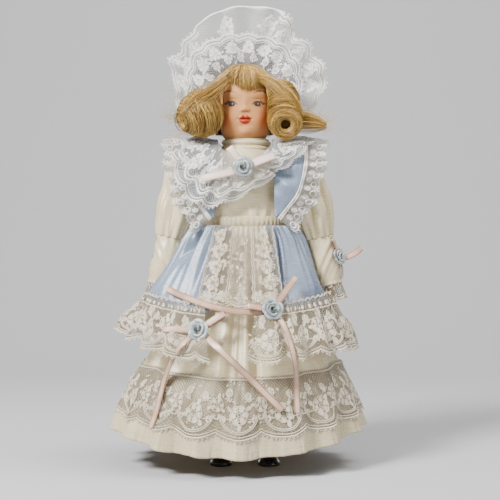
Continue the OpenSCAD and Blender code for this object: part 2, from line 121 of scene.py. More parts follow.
def set_floor():
    """A floor of matt paper that bends up into the backdrop; lengths here are metres."""
    wide, back, bend, tall = 3.0, 0.35, 0.35, 3.0
    rows = [(-wide, 0.0)]
    rows += [(back + bend * math.sin(t), bend - bend * math.cos(t)) for t in np.linspace(0, TAU / 4, 12)]
    rows += [(back + bend, tall)]
    verts = [(x, y, z) for (y, z) in rows for x in (-wide, wide)]
    faces = [(2 * i, 2 * i + 1, 2 * i + 3, 2 * i + 2) for i in range(len(rows) - 1)]
    mesh = bpy.data.meshes.new("floor")
    mesh.from_pydata(verts, [], faces)
    mesh.polygons.foreach_set("use_smooth", [True] * len(faces))
    paper = bpy.data.materials.new("floor_paper")
    paper.use_nodes = True
    shade = paper.node_tree.nodes["Principled BSDF"]
    shade.inputs["Base Color"].default_value = FLOOR_GREY
    shade.inputs["Roughness"].default_value = 0.9
    mesh.materials.append(paper)
    add_object("floor", mesh)


def set_lights():
    for name, size, power, place, aim in LAMPS:
        light = bpy.data.lights.new(name, "AREA")
        light.size = size
        light.energy = power
        lamp = add_object(name, light)
        lamp.location = place
        lamp.rotation_euler = (Vector(aim) - Vector(place)).to_track_quat("-Z", "Y").to_euler()
    world = bpy.data.worlds.new("studio")
    world.use_nodes = True
    air = world.node_tree.nodes["Background"]
    air.inputs["Color"].default_value = AIR_TINT
    air.inputs["Strength"].default_value = AIR_STRENGTH
    bpy.context.scene.world = world


set_camera()
set_floor()
set_lights()


# ---------------------------------------------------------------- node trees written as sums

class Tree:
    """Builds a material's nodes from expressions: values are sockets or numbers."""

    def __init__(self, name):
        self.material = bpy.data.materials.new(name)
        self.material.use_nodes = True
        self.nodes = self.material.node_tree.nodes
        self.links = self.material.node_tree.links
        self.shader = self.nodes["Principled BSDF"]

    def put(self, socket, value):
        if isinstance(value, bpy.types.NodeSocket):
            self.links.new(value, socket)
        elif isinstance(value, (tuple, list)) and len(value) == 3 and socket.type == "RGBA":
            socket.default_value = (*value, 1)
        else:
            socket.default_value = value

    def math(self, kind, *values):
        node = self.nodes.new("ShaderNodeMath")
        node.operation = kind
        for socket, value in zip(node.inputs, values):
            self.put(socket, value)
        return node.outputs[0]

    def add(self, a, b):
        return self.math("ADD", a, b)

    def mul(self, a, b):
        return self.math("MULTIPLY", a, b)

    def ramp(self, value, low, high, a=0.0, b=1.0):
        node = self.nodes.new("ShaderNodeMapRange")
        node.interpolation_type = "SMOOTHSTEP"
        for socket, v in zip(node.inputs, (value, low, high, a, b)):
            self.put(socket, v)
        return node.outputs[0]

    def mix(self, factor, a, b):
        node = self.nodes.new("ShaderNodeMix")
        node.data_type = "RGBA"
        self.put(node.inputs["Factor"], factor)
        self.put(node.inputs["A"], a)
        self.put(node.inputs["B"], b)
        return node.outputs["Result"]

    def noise(self, scale, detail=3, where=None, rough=0.5):
        node = self.nodes.new("ShaderNodeTexNoise")
        self.put(node.inputs["Scale"], scale)
        self.put(node.inputs["Detail"], detail)
        self.put(node.inputs["Roughness"], rough)
        if where is not None:
            self.links.new(where, node.inputs["Vector"])
        return node.outputs[0]

    def uv(self, across=1.0, along=1.0):
        """The cloth's own coordinates in millimetres, each divided by the size given."""
        node = self.nodes.new("ShaderNodeUVMap")
        node.uv_map = "cloth"
        place = self.nodes.new("ShaderNodeMapping")
        self.links.new(node.outputs[0], place.inputs["Vector"])
        place.inputs["Scale"].default_value = (1 / across, 1 / along, 1)
        return place.outputs[0]

    def split(self, vector):
        node = self.nodes.new("ShaderNodeSeparateXYZ")
        self.links.new(vector, node.inputs[0])
        return node.outputs

    def place(self):
        return self.nodes.new("ShaderNodeTexCoord").outputs["Object"]

    def paint(self):
        """The colour painted at each point, and how glossy the paint is there."""
        node = self.nodes.new("ShaderNodeAttribute")
        node.attribute_name = "paint"
        return node.outputs["Color"], node.outputs["Alpha"]

    def weave(self, cloth, pitch_u, pitch_v):
        """Ups and downs of crossing threads with the given pitches in mm."""
        u, v = self.split(cloth)[:2]
        return self.mul(self.math("SINE", self.mul(u, TAU / pitch_u)),
                        self.math("SINE", self.mul(v, TAU / pitch_v)))

    def bump(self, height, distance, strength=1.0):
        node = self.nodes.new("ShaderNodeBump")
        self.put(node.inputs["Height"], height)
        node.inputs["Distance"].default_value = distance * MM
        node.inputs["Strength"].default_value = strength
        self.links.new(node.outputs[0], self.shader.inputs["Normal"])

    def set(self, **values):
        for key, value in values.items():
            self.put(self.shader.inputs[key.replace("_", " ")], value)
        return self.material


def satin(name, light, dark, stain, gloss):
    """Woven satin: long floats that shine across the weave, soft blotches and the odd age mark."""
    t = Tree(name)
    cloth = t.uv()
    blotch = t.noise(0.05, 3, cloth)
    slub = t.noise(1.0, 2, t.uv(6.0, 0.25))
    tone = t.mix(t.ramp(t.add(t.mul(blotch, 0.7), t.mul(slub, 0.3)), 0.3, 0.72), dark, light)
    if stain:
        age = t.ramp(t.noise(0.11, 4, cloth, 0.6), 0.62, 0.78, 0, 0.35)
        tone = t.mix(age, tone, stain)
    weave = t.weave(cloth, 0.30, 0.16)
    t.bump(t.add(t.mul(weave, 0.35), t.add(t.mul(slub, 0.4), t.mul(t.noise(1.4, 2, cloth), 0.3))), 0.05, 0.4)
    return t.set(Base_Color=tone, Roughness=t.ramp(slub, 0.2, 0.8, gloss - 0.05, gloss + 0.09),
                 Sheen_Weight=0.15, Sheen_Roughness=0.4, Specular_IOR_Level=0.85)


def lace_net(name, light, dark, pitch, thread, fill):
    """Bobbin net: see-through between its threads, and filled in soft patches by `fill`, from 0 to 1."""
    t = Tree(name)
    u, v = t.split(t.uv())[:2]
    wobble = t.mul(t.noise(0.5, 2, t.uv()), 0.9)
    a = t.math("PINGPONG", t.add(t.add(u, v), wobble), pitch / 2)
    b = t.math("PINGPONG", t.add(t.math("SUBTRACT", u, v), wobble), pitch / 2)
    near = t.math("MINIMUM", a, b)
    thread_mask = t.ramp(near, thread * 0.32, thread * 0.55, 1, 0)
    patch = t.ramp(t.noise(0.16, 3, t.uv(), 0.6), 0.5, 0.66, 0, fill)
    alpha = t.math("MAXIMUM", thread_mask, patch)
    blotch = t.noise(0.08, 3, t.uv())
    t.bump(t.add(t.mul(thread_mask, 0.6), t.noise(3.0, 2, t.uv())), 0.08, 0.6)
    return t.set(Base_Color=t.mix(t.ramp(blotch, 0.35, 0.7), dark, light), Alpha=alpha,
                 Roughness=0.75, Sheen_Weight=0.25, Specular_IOR_Level=0.3)


def lace_thread(name, light, dark):
    """Dense darned stitches of the lace's flowers and cords."""
    t = Tree(name)
    place = t.place()
    blotch = t.noise(140, 3, place)
    stitch = t.noise(2600, 2, place)
    t.bump(stitch, 0.12, 0.8)
    tone = t.mix(t.ramp(t.add(t.mul(blotch, 0.6), t.mul(stitch, 0.4)), 0.35, 0.65), dark, light)
    return t.set(Base_Color=tone, Roughness=0.7, Sheen_Weight=0.3, Specular_IOR_Level=0.35)


CREAM = satin("cream_satin", (0.74, 0.64, 0.41), (0.60, 0.49, 0.29), (0.55, 0.37, 0.12), 0.24)
# A darker copy of the cream satin for the hem flounce: its darker tone is painted shade for the dimmer light
# low on the skirt, and it keeps stain marks like the other cream satin.
SHADED_CREAM = satin("shaded_cream_satin", (0.62, 0.53, 0.34), (0.48, 0.39, 0.235), (0.50, 0.31, 0.08), 0.26)
BLUE = satin("blue_satin", (0.243, 0.297, 0.378), (0.138, 0.176, 0.245), None, 0.24)
# Each net is coloured far darker than the threads of its flowers: painted shade on the thin, see-through net.
SHADED_SKIRT_NET = lace_net("shaded_skirt_net", (0.29, 0.245, 0.175), (0.19, 0.155, 0.108), 1.45, 0.52, 0.08)
SKIRT_THREAD = lace_thread("skirt_lace_thread", (0.66, 0.59, 0.46), (0.48, 0.41, 0.30))
SHADED_WHITE_NET = lace_net("shaded_white_net", (0.48, 0.47, 0.45), (0.33, 0.32, 0.305), 1.3, 0.46, 0.08)
WHITE_THREAD = lace_thread("white_lace_thread", (0.83, 0.80, 0.735), (0.62, 0.60, 0.55))
SKIRT_LACE = (SHADED_SKIRT_NET, SKIRT_THREAD)
WHITE_LACE = (SHADED_WHITE_NET, WHITE_THREAD)


# ---------------------------------------------------------------- mesh builders

def attach(piece, body, slot, *nodes):
    """Says which body carries a piece and hides the CAD nodes it stands for; the slot argument is not used.
    """
    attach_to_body(piece, body)
    if nodes:
        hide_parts(*nodes)


def finish_mesh(name, verts, faces, material, uv=None):
    """A smooth-shaded object from points in mm, with a flat-cloth map if one is given."""
    mesh = bpy.data.meshes.new(name)
    verts = np.asarray(verts, float) * MM
    mesh.from_pydata(verts.tolist(), [], faces if isinstance(faces, list) else faces.tolist())
    if uv is not None:
        layer = mesh.uv_layers.new(name="cloth")
        layer.data.foreach_set("uv", np.asarray(uv, float).ravel())
    mesh.materials.append(material)
    mesh.polygons.foreach_set("use_smooth", [True] * len(mesh.polygons))
    mesh.validate()
    mesh.update()
    return add_object(name, mesh)


def unit(vectors, tiny=0.0):
    return vectors / (np.linalg.norm(vectors, axis=-1, keepdims=True) + tiny)


def directions(path, closed, tiny):
    """Direction of a path at each of its points."""
    along = np.roll(path, -1, 0) - np.roll(path, 1, 0) if closed else np.gradient(path, axis=0)
    return unit(along, tiny)


def grid_faces(rows, cols, closed):
    """Quads over a grid of rows x cols points; a closed one joins its last column to its first."""
    spans = cols if closed else cols - 1
    i, j = np.meshgrid(np.arange(rows - 1), np.arange(spans), indexing="ij")
    a = i * cols + j
    b = i * cols + (j + 1) % cols
    return np.stack([a, b, b + cols, a + cols], -1).reshape(-1, 4)


def tube_faces(rows, cols, closed=False):
    """Faces of a tube of rows x cols points: a closed one is a loop, and others have both ends filled."""
    faces = grid_faces(rows, cols, True).tolist()
    last = (rows - 1) * cols
    if closed:
        return faces + [[last + k, last + (k + 1) % cols, (k + 1) % cols, k] for k in range(cols)]
    return faces + [list(range(cols))[::-1], [last + k for k in range(cols)]]


def sheet(name, point, cols, rows, material, size, closed=False, thick=0.0):
    """Cloth over point(u, v) in mm, with u and v from 0 to 1; size is its length and width in mm."""
    count = cols if closed else cols + 1
    u, v = np.meshgrid(np.arange(count) / cols, np.arange(rows + 1) / rows)
    verts = np.stack(np.broadcast_arrays(*point(u, v)), -1).reshape(-1, 3)
    faces = grid_faces(rows + 1, count, closed)
    i, j = np.meshgrid(np.arange(rows), np.arange(cols), indexing="ij")
    corners = [(j, i), (j + 1, i), (j + 1, i + 1), (j, i + 1)]
    uv = np.stack([np.stack([a * size[0] / cols, b * size[1] / rows], -1) for a, b in corners], 2)
    piece = finish_mesh(name, verts, faces, material, uv.reshape(-1, 2))
    if thick:
        solid = piece.modifiers.new("thickness", "SOLIDIFY")
        solid.thickness = thick * MM
        solid.offset = 0
    return piece


def tube_parts(path, radius, sides=5, closed=False):
    """Vertices and faces of a tube along a path of points in mm; radius is a number or one per point."""
    path = np.asarray(path, float)
    count = len(path)
    radius = np.broadcast_to(radius, count)
    along = directions(path, closed, 1e-12)
    side = np.empty_like(path)
    guess = np.array([0.0, 0.0, 1.0]) if abs(along[0][2]) < 0.9 else np.array([1.0, 0.0, 0.0])
    for i in range(count):
        guess = guess - along[i] * guess.dot(along[i])
        guess /= np.linalg.norm(guess) + 1e-12
        side[i] = guess
    other = np.cross(along, side)
    a = np.arange(sides) * TAU / sides
    ring = side[:, None] * np.cos(a)[:, None] + other[:, None] * np.sin(a)[:, None]
    verts = (path[:, None] + ring * radius[:, None, None]).reshape(-1, 3)
    return verts, tube_faces(count, sides, closed)


class Bundle:
    """Collects the parts of one mesh."""

    def __init__(self):
        self.verts, self.faces, self.count = [], [], 0

    def add(self, verts, faces):
        self.verts.append(np.asarray(verts, float))
        self.faces += [[k + self.count for k in face] for face in faces]
        self.count += len(verts)

    def tube(self, path, radius, sides=5, closed=False):
        self.add(*tube_parts(path, radius, sides, closed))

    def piece(self, name, material, change=None):
        verts = np.concatenate(self.verts)
        if change is not None:
            verts = np.stack(change(*verts.T), -1)
        return finish_mesh(name, verts, self.faces, material)


def paint_points(piece, colours, gloss=None):
    """Stores a colour at each point; its alpha says how glossy the paint is there."""
    layer = piece.data.color_attributes.new(name="paint", type="FLOAT_COLOR", domain="POINT")
    full = np.ones((len(piece.data.vertices), 4))
    full[:, :3] = colours
    full[:, 3] = 0 if gloss is None else gloss
    layer.data.foreach_set("color", full.ravel())


def wave(x, seed, parts=4):
    """Smooth noise of one variable, about -1 to 1."""
    rng = random.Random(seed)
    total = 0
    for k in range(1, parts + 1):
        total = total + np.sin(x * k * rng.uniform(0.8, 1.3) + rng.uniform(0, TAU)) / k ** 0.7
    return total / 2.2


def smooth_step(x, low, high):
    """0 below low and 1 above high, with a soft rise between them."""
    t = np.clip((x - low) / (high - low), 0, 1)
    return t * t * (3 - 2 * t)


def bell(x, middle, spread):
    """1 at the middle, falling away smoothly on both sides."""
    return np.exp(-((x - middle) / spread) ** 2)


def spline(keys, s):
    """Smooth curve through rows of (s, values...), at each s."""
    keys = np.asarray(keys, float)
    at, values = keys[:, 0], keys[:, 1:]
    slopes = np.gradient(values, at, axis=0)
    k = np.clip(np.searchsorted(at, s, side="right") - 1, 0, len(at) - 2)
    gap = at[k + 1] - at[k]
    t = ((s - at[k]) / gap)[..., None]
    gap = gap[..., None]
    out = ((2 * t ** 3 - 3 * t ** 2 + 1) * values[k] + (t ** 3 - 2 * t ** 2 + t) * gap * slopes[k]
           + (3 * t ** 2 - 2 * t ** 3) * values[k + 1] + (t ** 3 - t ** 2) * gap * slopes[k + 1])
    return np.moveaxis(out, -1, 0)


# ---------------------------------------------------------------- lace motifs in flat (u, v, height)

class Lace(Bundle):
    """Raised work of a lace band, drawn flat: u along, v down from the heading, in mm."""

    def cord(self, u, v, width, rise, closed=False):
        """A thread laid along u and v, diamond-shaped across."""
        path = np.stack(np.broadcast_arrays(u, v), -1).astype(float)
        along = directions(path, closed, 1e-9)
        across = np.stack([-along[:, 1], along[:, 0]], -1) * width / 2
        zero = np.zeros(len(path))
        rings = np.stack([
            np.column_stack([path + across, zero]), np.column_stack([path, zero + rise]),
            np.column_stack([path - across, zero]), np.column_stack([path, zero - rise])], 1)
        self.add(rings.reshape(-1, 3), tube_faces(len(path), 4, closed))

    def leaf(self, u, v, length, width, turn, rise=0.07):
        """Rounded petal or leaf with its base at (u, v)."""
        t = np.linspace(0, TAU, 11)[:-1]
        x = (1 - np.cos(t)) / 2 * length
        y = np.sin(t) * width / 2 * (0.75 + 0.25 * (1 - np.cos(t)) / 2)
        c, s = math.cos(turn), math.sin(turn)
        rim = np.column_stack([u + x * c - y * s, v + x * s + y * c, np.zeros(10)])
        tip = np.array([[u + length * 0.55 * c, v + length * 0.55 * s, rise],
                        [u + length * 0.55 * c, v + length * 0.55 * s, -rise]])
        faces = [[k, (k + 1) % 10, 10] for k in range(10)] + [[(k + 1) % 10, k, 11] for k in range(10)]
        self.add(np.concatenate([rim, tip]), faces)

    def flower(self, u, v, size, petals=6, turn=0.0):
        """A rose: flat petals in a corded outline, a corded swirl for a heart, and leaves if it is large."""
        def leaf_at(a, reach, long, wide, turned, rise):
            out = reach * size
            self.leaf(u + out * math.cos(a), v + out * math.sin(a), size * long, size * wide,
                      a + turned, rise)
        if size > 4.5:
            for k in range(3):
                leaf_at(turn + 0.5 + TAU * k / 3, 0.4, 0.34, 0.24, 0.3, 0.05)
        for k in range(petals):
            leaf_at(turn + TAU * k / petals, 0.14, 0.30, 0.32, 0, 0.06)
        theta = np.linspace(0, TAU, petals * 6 + 1)[:-1]
        lobe = size * (0.40 + 0.06 * np.abs(np.sin((theta - turn) * petals / 2 + math.pi / 2)))
        self.cord(u + lobe * np.cos(theta), v + lobe * np.sin(theta), 0.42, 0.16, closed=True)
        theta = np.linspace(0, 1.6 * TAU, 16)
        swirl = size * np.linspace(0.03, 0.2, 16)
        self.cord(u + swirl * np.cos(theta + turn), v + swirl * np.sin(theta + turn), 0.32, 0.18)

    def spray(self, u, v, length, turn, leaves=3, side=1):
        """Curved stem with leaves on both sides."""
        t = np.linspace(0, 1, 9)
        bend = turn + side * 0.9 * t
        stem_u = u + np.cumsum(np.cos(bend)) * length / 9
        stem_v = v + np.cumsum(np.sin(bend)) * length / 9
        self.cord(stem_u, stem_v, 0.4, 0.2)
        for k in range(2, 2 + 2 * leaves, 2):
            for s in (-1, 1):
                self.leaf(stem_u[k], stem_v[k], length * 0.26, length * 0.15, bend[k] + s * 0.9)

    def picots(self, low, high, line, size=1.1, pitch=1.7):
        """Little thread loops standing out from the edge v = line(u), from u = low to high."""
        t = np.linspace(0, math.pi, 5)
        u = low + pitch / 2
        while u < high:
            self.cord(u + np.cos(t) * pitch * 0.26, line(u) + np.sin(t) * size, 0.34, 0.17)
            u += pitch


# ---------------------------------------------------------------- the skirt's surface

# Heights, and the half width and half depth of each layer at them.
UNDER_SHAPE = (
    [0, 9, 20, 41, 50, 64, 72, 80, 90, 100, 108],
    [57, 54.5, 51.5, 45, 41, 33.5, 29, 26.5, 23.5, 20.5, 18.2],
    [44, 42, 40.5, 36.5, 34, 29, 26, 23.5, 20, 16, 13.2])
OVER_SHAPE = (
    [40, 48, 56, 64, 72, 80, 90, 100, 104, 108],
    [47.6, 47.2, 45.8, 42.4, 39.4, 36.6, 32.0, 27.2, 24.2, 20.8],
    [40, 39.0, 37, 34, 30.5, 27, 22.5, 18, 16, 14])
# The top of each layer, and how far it hangs down.
UNDER_TOP, UNDER_DROP = 105.6, 64.8
OVER_TOP, OVER_DROP = 105.8, 38.0
HEM_TOP, HEM_DROP = 41.6, 33.0
# A sleeve's radius by height, for the cloth that it presses in.
SLEEVE_HEIGHTS = [60, 64, 72, 80, 90, 100, 108, 120]
SLEEVE_RADII = [2.0, 4.0, 6.2, 6.9, 7.4, 7.6, 8.9, 9.0]


def sway(z):
    """The skirt hangs a little towards the doll's right."""
    return -3.6 * (1 - z / WAIST)


def skirt_size(z, over):
    """Half width and half depth of the overskirt, or else of the underskirt, at height z."""
    heights, wide, deep = OVER_SHAPE if over else UNDER_SHAPE
    return np.interp(z, heights, wide), np.interp(z, heights, deep)


def clear_of_arms(x, y, z):
    """Presses the cloth in where an arm hangs against it; in front of the arm it laps over."""
    middle = SHOULDER[0] + (SHOULDER[2] - z) * math.tan(ARM_SLOPE)
    radius = np.interp(z, SLEEVE_HEIGHTS, SLEEVE_RADII) + 0.6
    dy = np.abs(y - SHOULDER[1])
    limit = middle - np.sqrt(np.maximum(radius ** 2 - dy ** 2, 0)) + 2.2 * np.maximum(dy - radius, 0)
    limit = limit + np.maximum(61 - z, 0) * 2.5
    over = np.maximum(np.abs(x) - limit, 0)
    return np.sign(x) * (np.abs(x) - over)


def skirt_at(angle, z, out=0.0, over=False, lift=0.0):
    """A point on the underskirt, or on the fuller overskirt, `out` mm outside it."""
    wide, deep = skirt_size(z, over)
    x = (wide + out) * np.cos(angle)
    y = (deep + out) * np.sin(angle)
    if over:
        x = clear_of_arms(x, y, z)
    lean = sway(z) - 1.8 * smooth_step(WAIST - z, 6, 36) * over
    return x + lean, y, z + lift * np.cos(angle) ** 2


def gathers(angle, t, tight, loose, seed):
    """Radial folds: tight ones at the gathered edge, t = 0, run out into loose ones at t = 1."""
    drift = 0.5 * wave(angle * 2, seed) / 2
    fine = np.cos(tight * (angle + drift * 0.15) + 2 * wave(angle * 3, seed + 1))
    big = np.cos(loose * (angle + drift * 0.25) + 1.2 * wave(angle * 2, seed + 2))
    return fine * (0.55 * np.exp(-t * 5) + 0.06) + big * smooth_step(t, 0.02, 0.7)


# ---------------------------------------------------------------- satin layers of the skirt

def under_out(a, v):
    """How far the underskirt's folds stand out; one bright pleat runs down its front."""
    fold = gathers(a, v, 46, 11, 3) * (0.4 + 1.25 * v)
    front = (a - FRONT) % TAU
    pleat = 2.0 * bell(front, 0.07, 0.06) - 1.9 * bell(front, 0.185, 0.03)
    pleat = pleat - 1.6 * bell(front, TAU - 0.10, 0.04)
    return -1.8 + fold + pleat * smooth_step(v, 0.2, 0.6)


def underskirt():
    def point(u, v):
        a = u * TAU
        z = UNDER_TOP - v * UNDER_DROP
        return skirt_at(a, z, under_out(a, v), lift=4 * v ** 4)
    piece = sheet("underskirt_satin", point, 540, 60, CREAM, (250, 66), closed=True, thick=0.25)
    attach(piece, "torso", "cream_satin", "underskirt")


def hem_shape(a, v):
    """The lower flounce from its seam, v = 0, to the hem, v = 1."""
    z = HEM_TOP - v * HEM_DROP
    lift = 4 + 4.2 * v
    fold = gathers(a, v, 84, 17, 8) * (0.45 + 1.5 * v)
    flare = 0.2 + 1.2 * np.sin(np.pi * np.minimum(v * 1.15, 1) / 2)
    sewn = under_out(a, 1.0) + 0.35
    return z, lift, sewn + (fold + flare - sewn) * smooth_step(v, 0.0, 0.3)


def hem_flounce():
    def point(u, v):
        a = u * TAU
        z, lift, out = hem_shape(a, v)
        pucker = 0.3 * wave(a * 60, 31) * smooth_step(v, 0.8, 0.95)
        return skirt_at(a, z + 0.5 * wave(a * 9, 12) * v, out + pucker, lift=lift)
    # The flounce takes the darker cream satin: painted shade low on the skirt.
    piece = sheet("hem_flounce_satin", point, 720, 40, SHADED_CREAM, (345, 34), closed=True, thick=0.28)
    attach(piece, "torso", "cream_satin", "hem_flounce")
    stitches = Bundle()
    count = 230
    for v in (0.90, 0.03):
        for k in range(count):
            a = np.linspace(TAU * k / count, TAU * (k + 0.62) / count, 3)
            z, lift, out = hem_shape(a, np.full(3, v))
            rise = out + 0.3 * wave(a * 60, 31) * (v > 0.5) + np.array([0.1, 0.24, 0.1])
            x, y, z = skirt_at(a, z + 0.5 * wave(a * 9, 12) * v, rise, lift=lift)
            stitches.tube(np.column_stack([x, y, z]), 0.12, 4)
    seam = stitches.piece("hem_stitching", SKIRT_THREAD)
    attach(seam, "torso", "thread")


def overskirt():
    """Two blue satin fronts that meet behind; each front edge is turned under."""
    start, end = FRONT + math.radians(24), FRONT + TAU - math.radians(17)

    def point(u, v):
        a = start + (end - start) * u
        hang = 1 - 0.75 * smooth_step(v, 0.72, 0.98)
        fold = gathers(a, v, 52, 10, 21) * (0.8 + 1.3 * v) * hang
        fold = fold + 0.9 * np.cos(19 * a + 2 * wave(a * 3, 5)) * np.exp(-v * 2.4)
        groove = -3.0 * bell(a, start + 0.15, 0.035) * np.sin(np.pi * np.clip(v * 1.1, 0, 1)) ** 0.6
        hollow = -4.6 * bell(a, end - 0.62 - 0.5 * (v - 0.24), 0.11) * bell(v, 0.24, 0.14)
        hollow = hollow + 1.3 * bell(a, end - 0.4, 0.12) * bell(v, 0.3, 0.3)
        turned = -1.1 * (bell(a, start, 0.02) + bell(a, end, 0.02))
        out = 0.6 + fold + groove + hollow + turned
        return skirt_at(a, OVER_TOP - v * OVER_DROP, out, over=True, lift=5.5 * v ** 3)
    piece = sheet("overskirt_satin", point, 640, 60, BLUE, (240, 40), thick=0.25)
    attach(piece, "torso", "blue_satin", "overskirt")


# ---------------------------------------------------------------- lace bands

def lace_band(name, body, place, size, cells, look, draw, edge, closed=False, node=None):
    """A gathered net and its raised work.

    place(u, v, h) maps flat mm to the doll, and the net's edge is at v = edge(u).
    """
    net, thread = look

    def point(u, v):
        flat_u = u * size[0]
        return place(flat_u, v * edge(flat_u), 0 * u)
    ground = sheet(name + "_net", point, *cells, net, size, closed=closed)
    work = Lace()
    draw(work)
    raised = work.piece(name + "_flowers", thread, place)
    raised.data.shade_flat()
    attach(ground, body, "lace", node or name)
    attach(raised, body, "lace")


def scalloped(width, pitch, depth, phase=0.0):
    return lambda u: width - depth + depth * np.abs(np.sin(np.pi * (u + phase) / pitch)) ** 0.7


def edge_work(work, length, line):
    """Double cord along a scalloped edge, with picots."""
    u = np.linspace(0, length, int(length / 0.7))
    work.cord(u, line(u), 0.7, 0.3)
    work.cord(u, line(u) - 1.2, 0.4, 0.2)
    work.picots(0, length, line)


def floral_repeat(work, length, width, pitch, rng):
    """The pattern between heading and edge: a large flower in each scallop, small ones and sprays between."""
    count = int(round(length / pitch))
    for k in range(count):
        u = (k + 0.5) * pitch
        work.flower(u, width * 0.60, 8.8, 6, rng.uniform(0, 1))
        work.flower(u + pitch * 0.5, width * 0.44, 6.4, 5, rng.uniform(0, 1))
        work.flower(u - pitch * 0.24, width * 0.25, 3.6, 5, rng.uniform(0, 1))
        work.flower(u + pitch * 0.2, width * 0.3, 3.2, 5, rng.uniform(0, 1))
        for side in (-1, 1):
            work.spray(u + side * 3.6, width * 0.66, 6.5, math.pi / 2 - side * 1.3, 3, -side)
            work.spray(u + side * 2.4, width * 0.42, 5.0, -math.pi / 2 + side * 0.7, 2, side)
        arc = np.linspace(math.pi * 0.08, math.pi * 0.92, 18)
        for scale in (0.98, 0.9):
            work.cord(u + np.cos(arc) * pitch * 0.46 * scale,
                      width * 0.55 + np.sin(arc) * width * 0.36 * scale,
                      0.45, 0.2)
        for _ in range(18):
            work.leaf(u + rng.uniform(-0.5, 0.5) * pitch, width * rng.uniform(0.08, 0.92),
                      rng.uniform(1.0, 1.9), rng.uniform(0.7, 1.1), rng.uniform(0, TAU))


def hem_lace():
    length, width, pitch = 340.0, 25.0, 20.0
    line = scalloped(width, pitch, 3.0)

    def place(u, v, h):
        a = TAU * u / length + 0.1
        t = v / HEM_DROP
        z, lift, out = hem_shape(a, t)
        ripple = 0.35 * np.cos(44 * a + 2 * wave(a * 4, 4)) * t
        return skirt_at(a, z, out + 0.75 + h + ripple, lift=lift)

    def draw(work):
        edge_work(work, length, line)
        floral_repeat(work, length, width, pitch, random.Random(5))
        u = np.linspace(0, length, 480)
        work.cord(u, 1.0, 0.6, 0.25)
    lace_band("hem_lace", "torso", place, (length, width), (680, 26), SKIRT_LACE, draw, line,
              closed=True)


def overskirt_flounce():
    length, width, pitch = 330.0, 21.0, 18.0
    line = scalloped(width, pitch, 2.8)

    def place(u, v, h):
        t = v / width
        start = FRONT + np.radians(10 - 5 * t)
        end = FRONT + TAU - np.radians(19 - 8 * t)
        a = start + (end - start) * u / length
        z = 70.6 - v * 1.07
        crimp = 0.8 * np.cos(66 * a + 2 * wave(a * 4, 13)) * np.exp(-np.abs(t - 0.02) * 5)
        ruffle = (0.2 + 2.2 * t) * np.cos(24 * a + 1.6 * wave(a * 3, 41)) + crimp
        out = 2.2 + 3.0 * t + 2.8 * t * (1 - t) + ruffle + h
        return skirt_at(a, z, out, over=True, lift=5.0 + (3.0 - 4.0 * np.cos(a)) * t)

    def draw(work):
        edge_work(work, length, line)
        floral_repeat(work, length, width, pitch, random.Random(9))
        u = np.linspace(0, length, 480)
        work.cord(u, 3.4, 0.5, 0.25)
        u = np.linspace(0, length, 900)
        work.cord(u, -0.2 - np.abs(np.sin(u * 1.2)), 0.5, 0.22)
        for k in range(int(length / 2.6)):
            work.leaf(2.6 * k + 1.3, 1.0, 1.7, 1.3, math.pi / 2, 0.12)
    lace_band("flounce_lace", "torso", place, (length, width), (760, 22), SKIRT_LACE, draw, line,
              node="overskirt_flounce")


def apron():
    """Lace front panel: a plainer strip down its middle between two flowered sides, scalloped below."""
    length, width = 40.0, 36.5
    line = scalloped(width, 8.0, 1.8)

    def place(u, v, h):
        t = np.clip(v / width, 0, 1.1)
        across = u / length - 0.5
        half = 12.8 + 6.2 * t
        x = across * 2 * half - 0.6 - 1.2 * t
        z = 106.0 - v * 0.96
        wide, deep = skirt_size(z, over=True)
        fold = (0.5 + 0.5 * t) * np.cos(u * 1.05 + 1.2 * wave(u / 6, 3))
        y = -(deep + 2) * np.sqrt(np.clip(1 - ((x - sway(z)) / (wide + 2)) ** 2, 0, 1)) - 0.6 * fold - h - 0.6
        return x, y, z

    def draw(work):
        rng = random.Random(14)
        edge_work(work, length, line)
        v = np.linspace(0.5, width - 2, 60)
        for u in (0.4, 13.2, 14.2, 25.6, 26.6, 39.6):
            work.cord(u + 0.25 * np.sin(v * 1.7), v, 0.5, 0.25)
        for row in range(5):
            for u in (6.6, 33.2):
                work.flower(u + rng.uniform(-1, 1), 5 + row * 7, 6.6, 6, rng.uniform(0, 1))
                work.spray(u + 2.6, 8 + row * 7, 4.6, rng.uniform(0.4, 1.2), 3)
                work.spray(u - 2.6, 8 + row * 7, 4.6, math.pi - rng.uniform(0.4, 1.2), 3, -1)
            work.spray(19.9, 4 + row * 7, 5.6, math.pi / 2, 3, 0)
        for _ in range(90):
            work.leaf(rng.uniform(0.5, 39.5), rng.uniform(1, width - 3), rng.uniform(0.9, 1.8),
                      rng.uniform(0.6, 1.1), rng.uniform(0, TAU))
        for k in range(5):
            work.flower(4 + 8 * k, width - 4.4, 4.6, 5, 0.3)
    lace_band("apron_lace", "torso", place, (length, width), (90, 70), SKIRT_LACE, draw, line)


underskirt()
hem_flounce()
overskirt()
hem_lace()
overskirt_flounce()
apron()


# ---------------------------------------------------------------- bodice, neck band and shoulders

BODY_Y = 1
# Up the bodice: distance along it, half width, half depth and height.
BODICE_ROWS = [
    (0, 18.4, 12.2, 107.6), (6, 19.4, 12.3, 112), (15, 18.2, 12.4, 120), (25, 16.2, 12.5, 130),
    (31, 14.4, 12.2, 136), (34.5, 11.8, 10.9, 139.4), (36.5, 9.9, 9.6, 141)]


def squarish(a):
    """The cosine of a with fuller sides, for a waist that is flatter than an ellipse."""
    return np.sign(np.cos(a)) * np.abs(np.cos(a)) ** 0.85


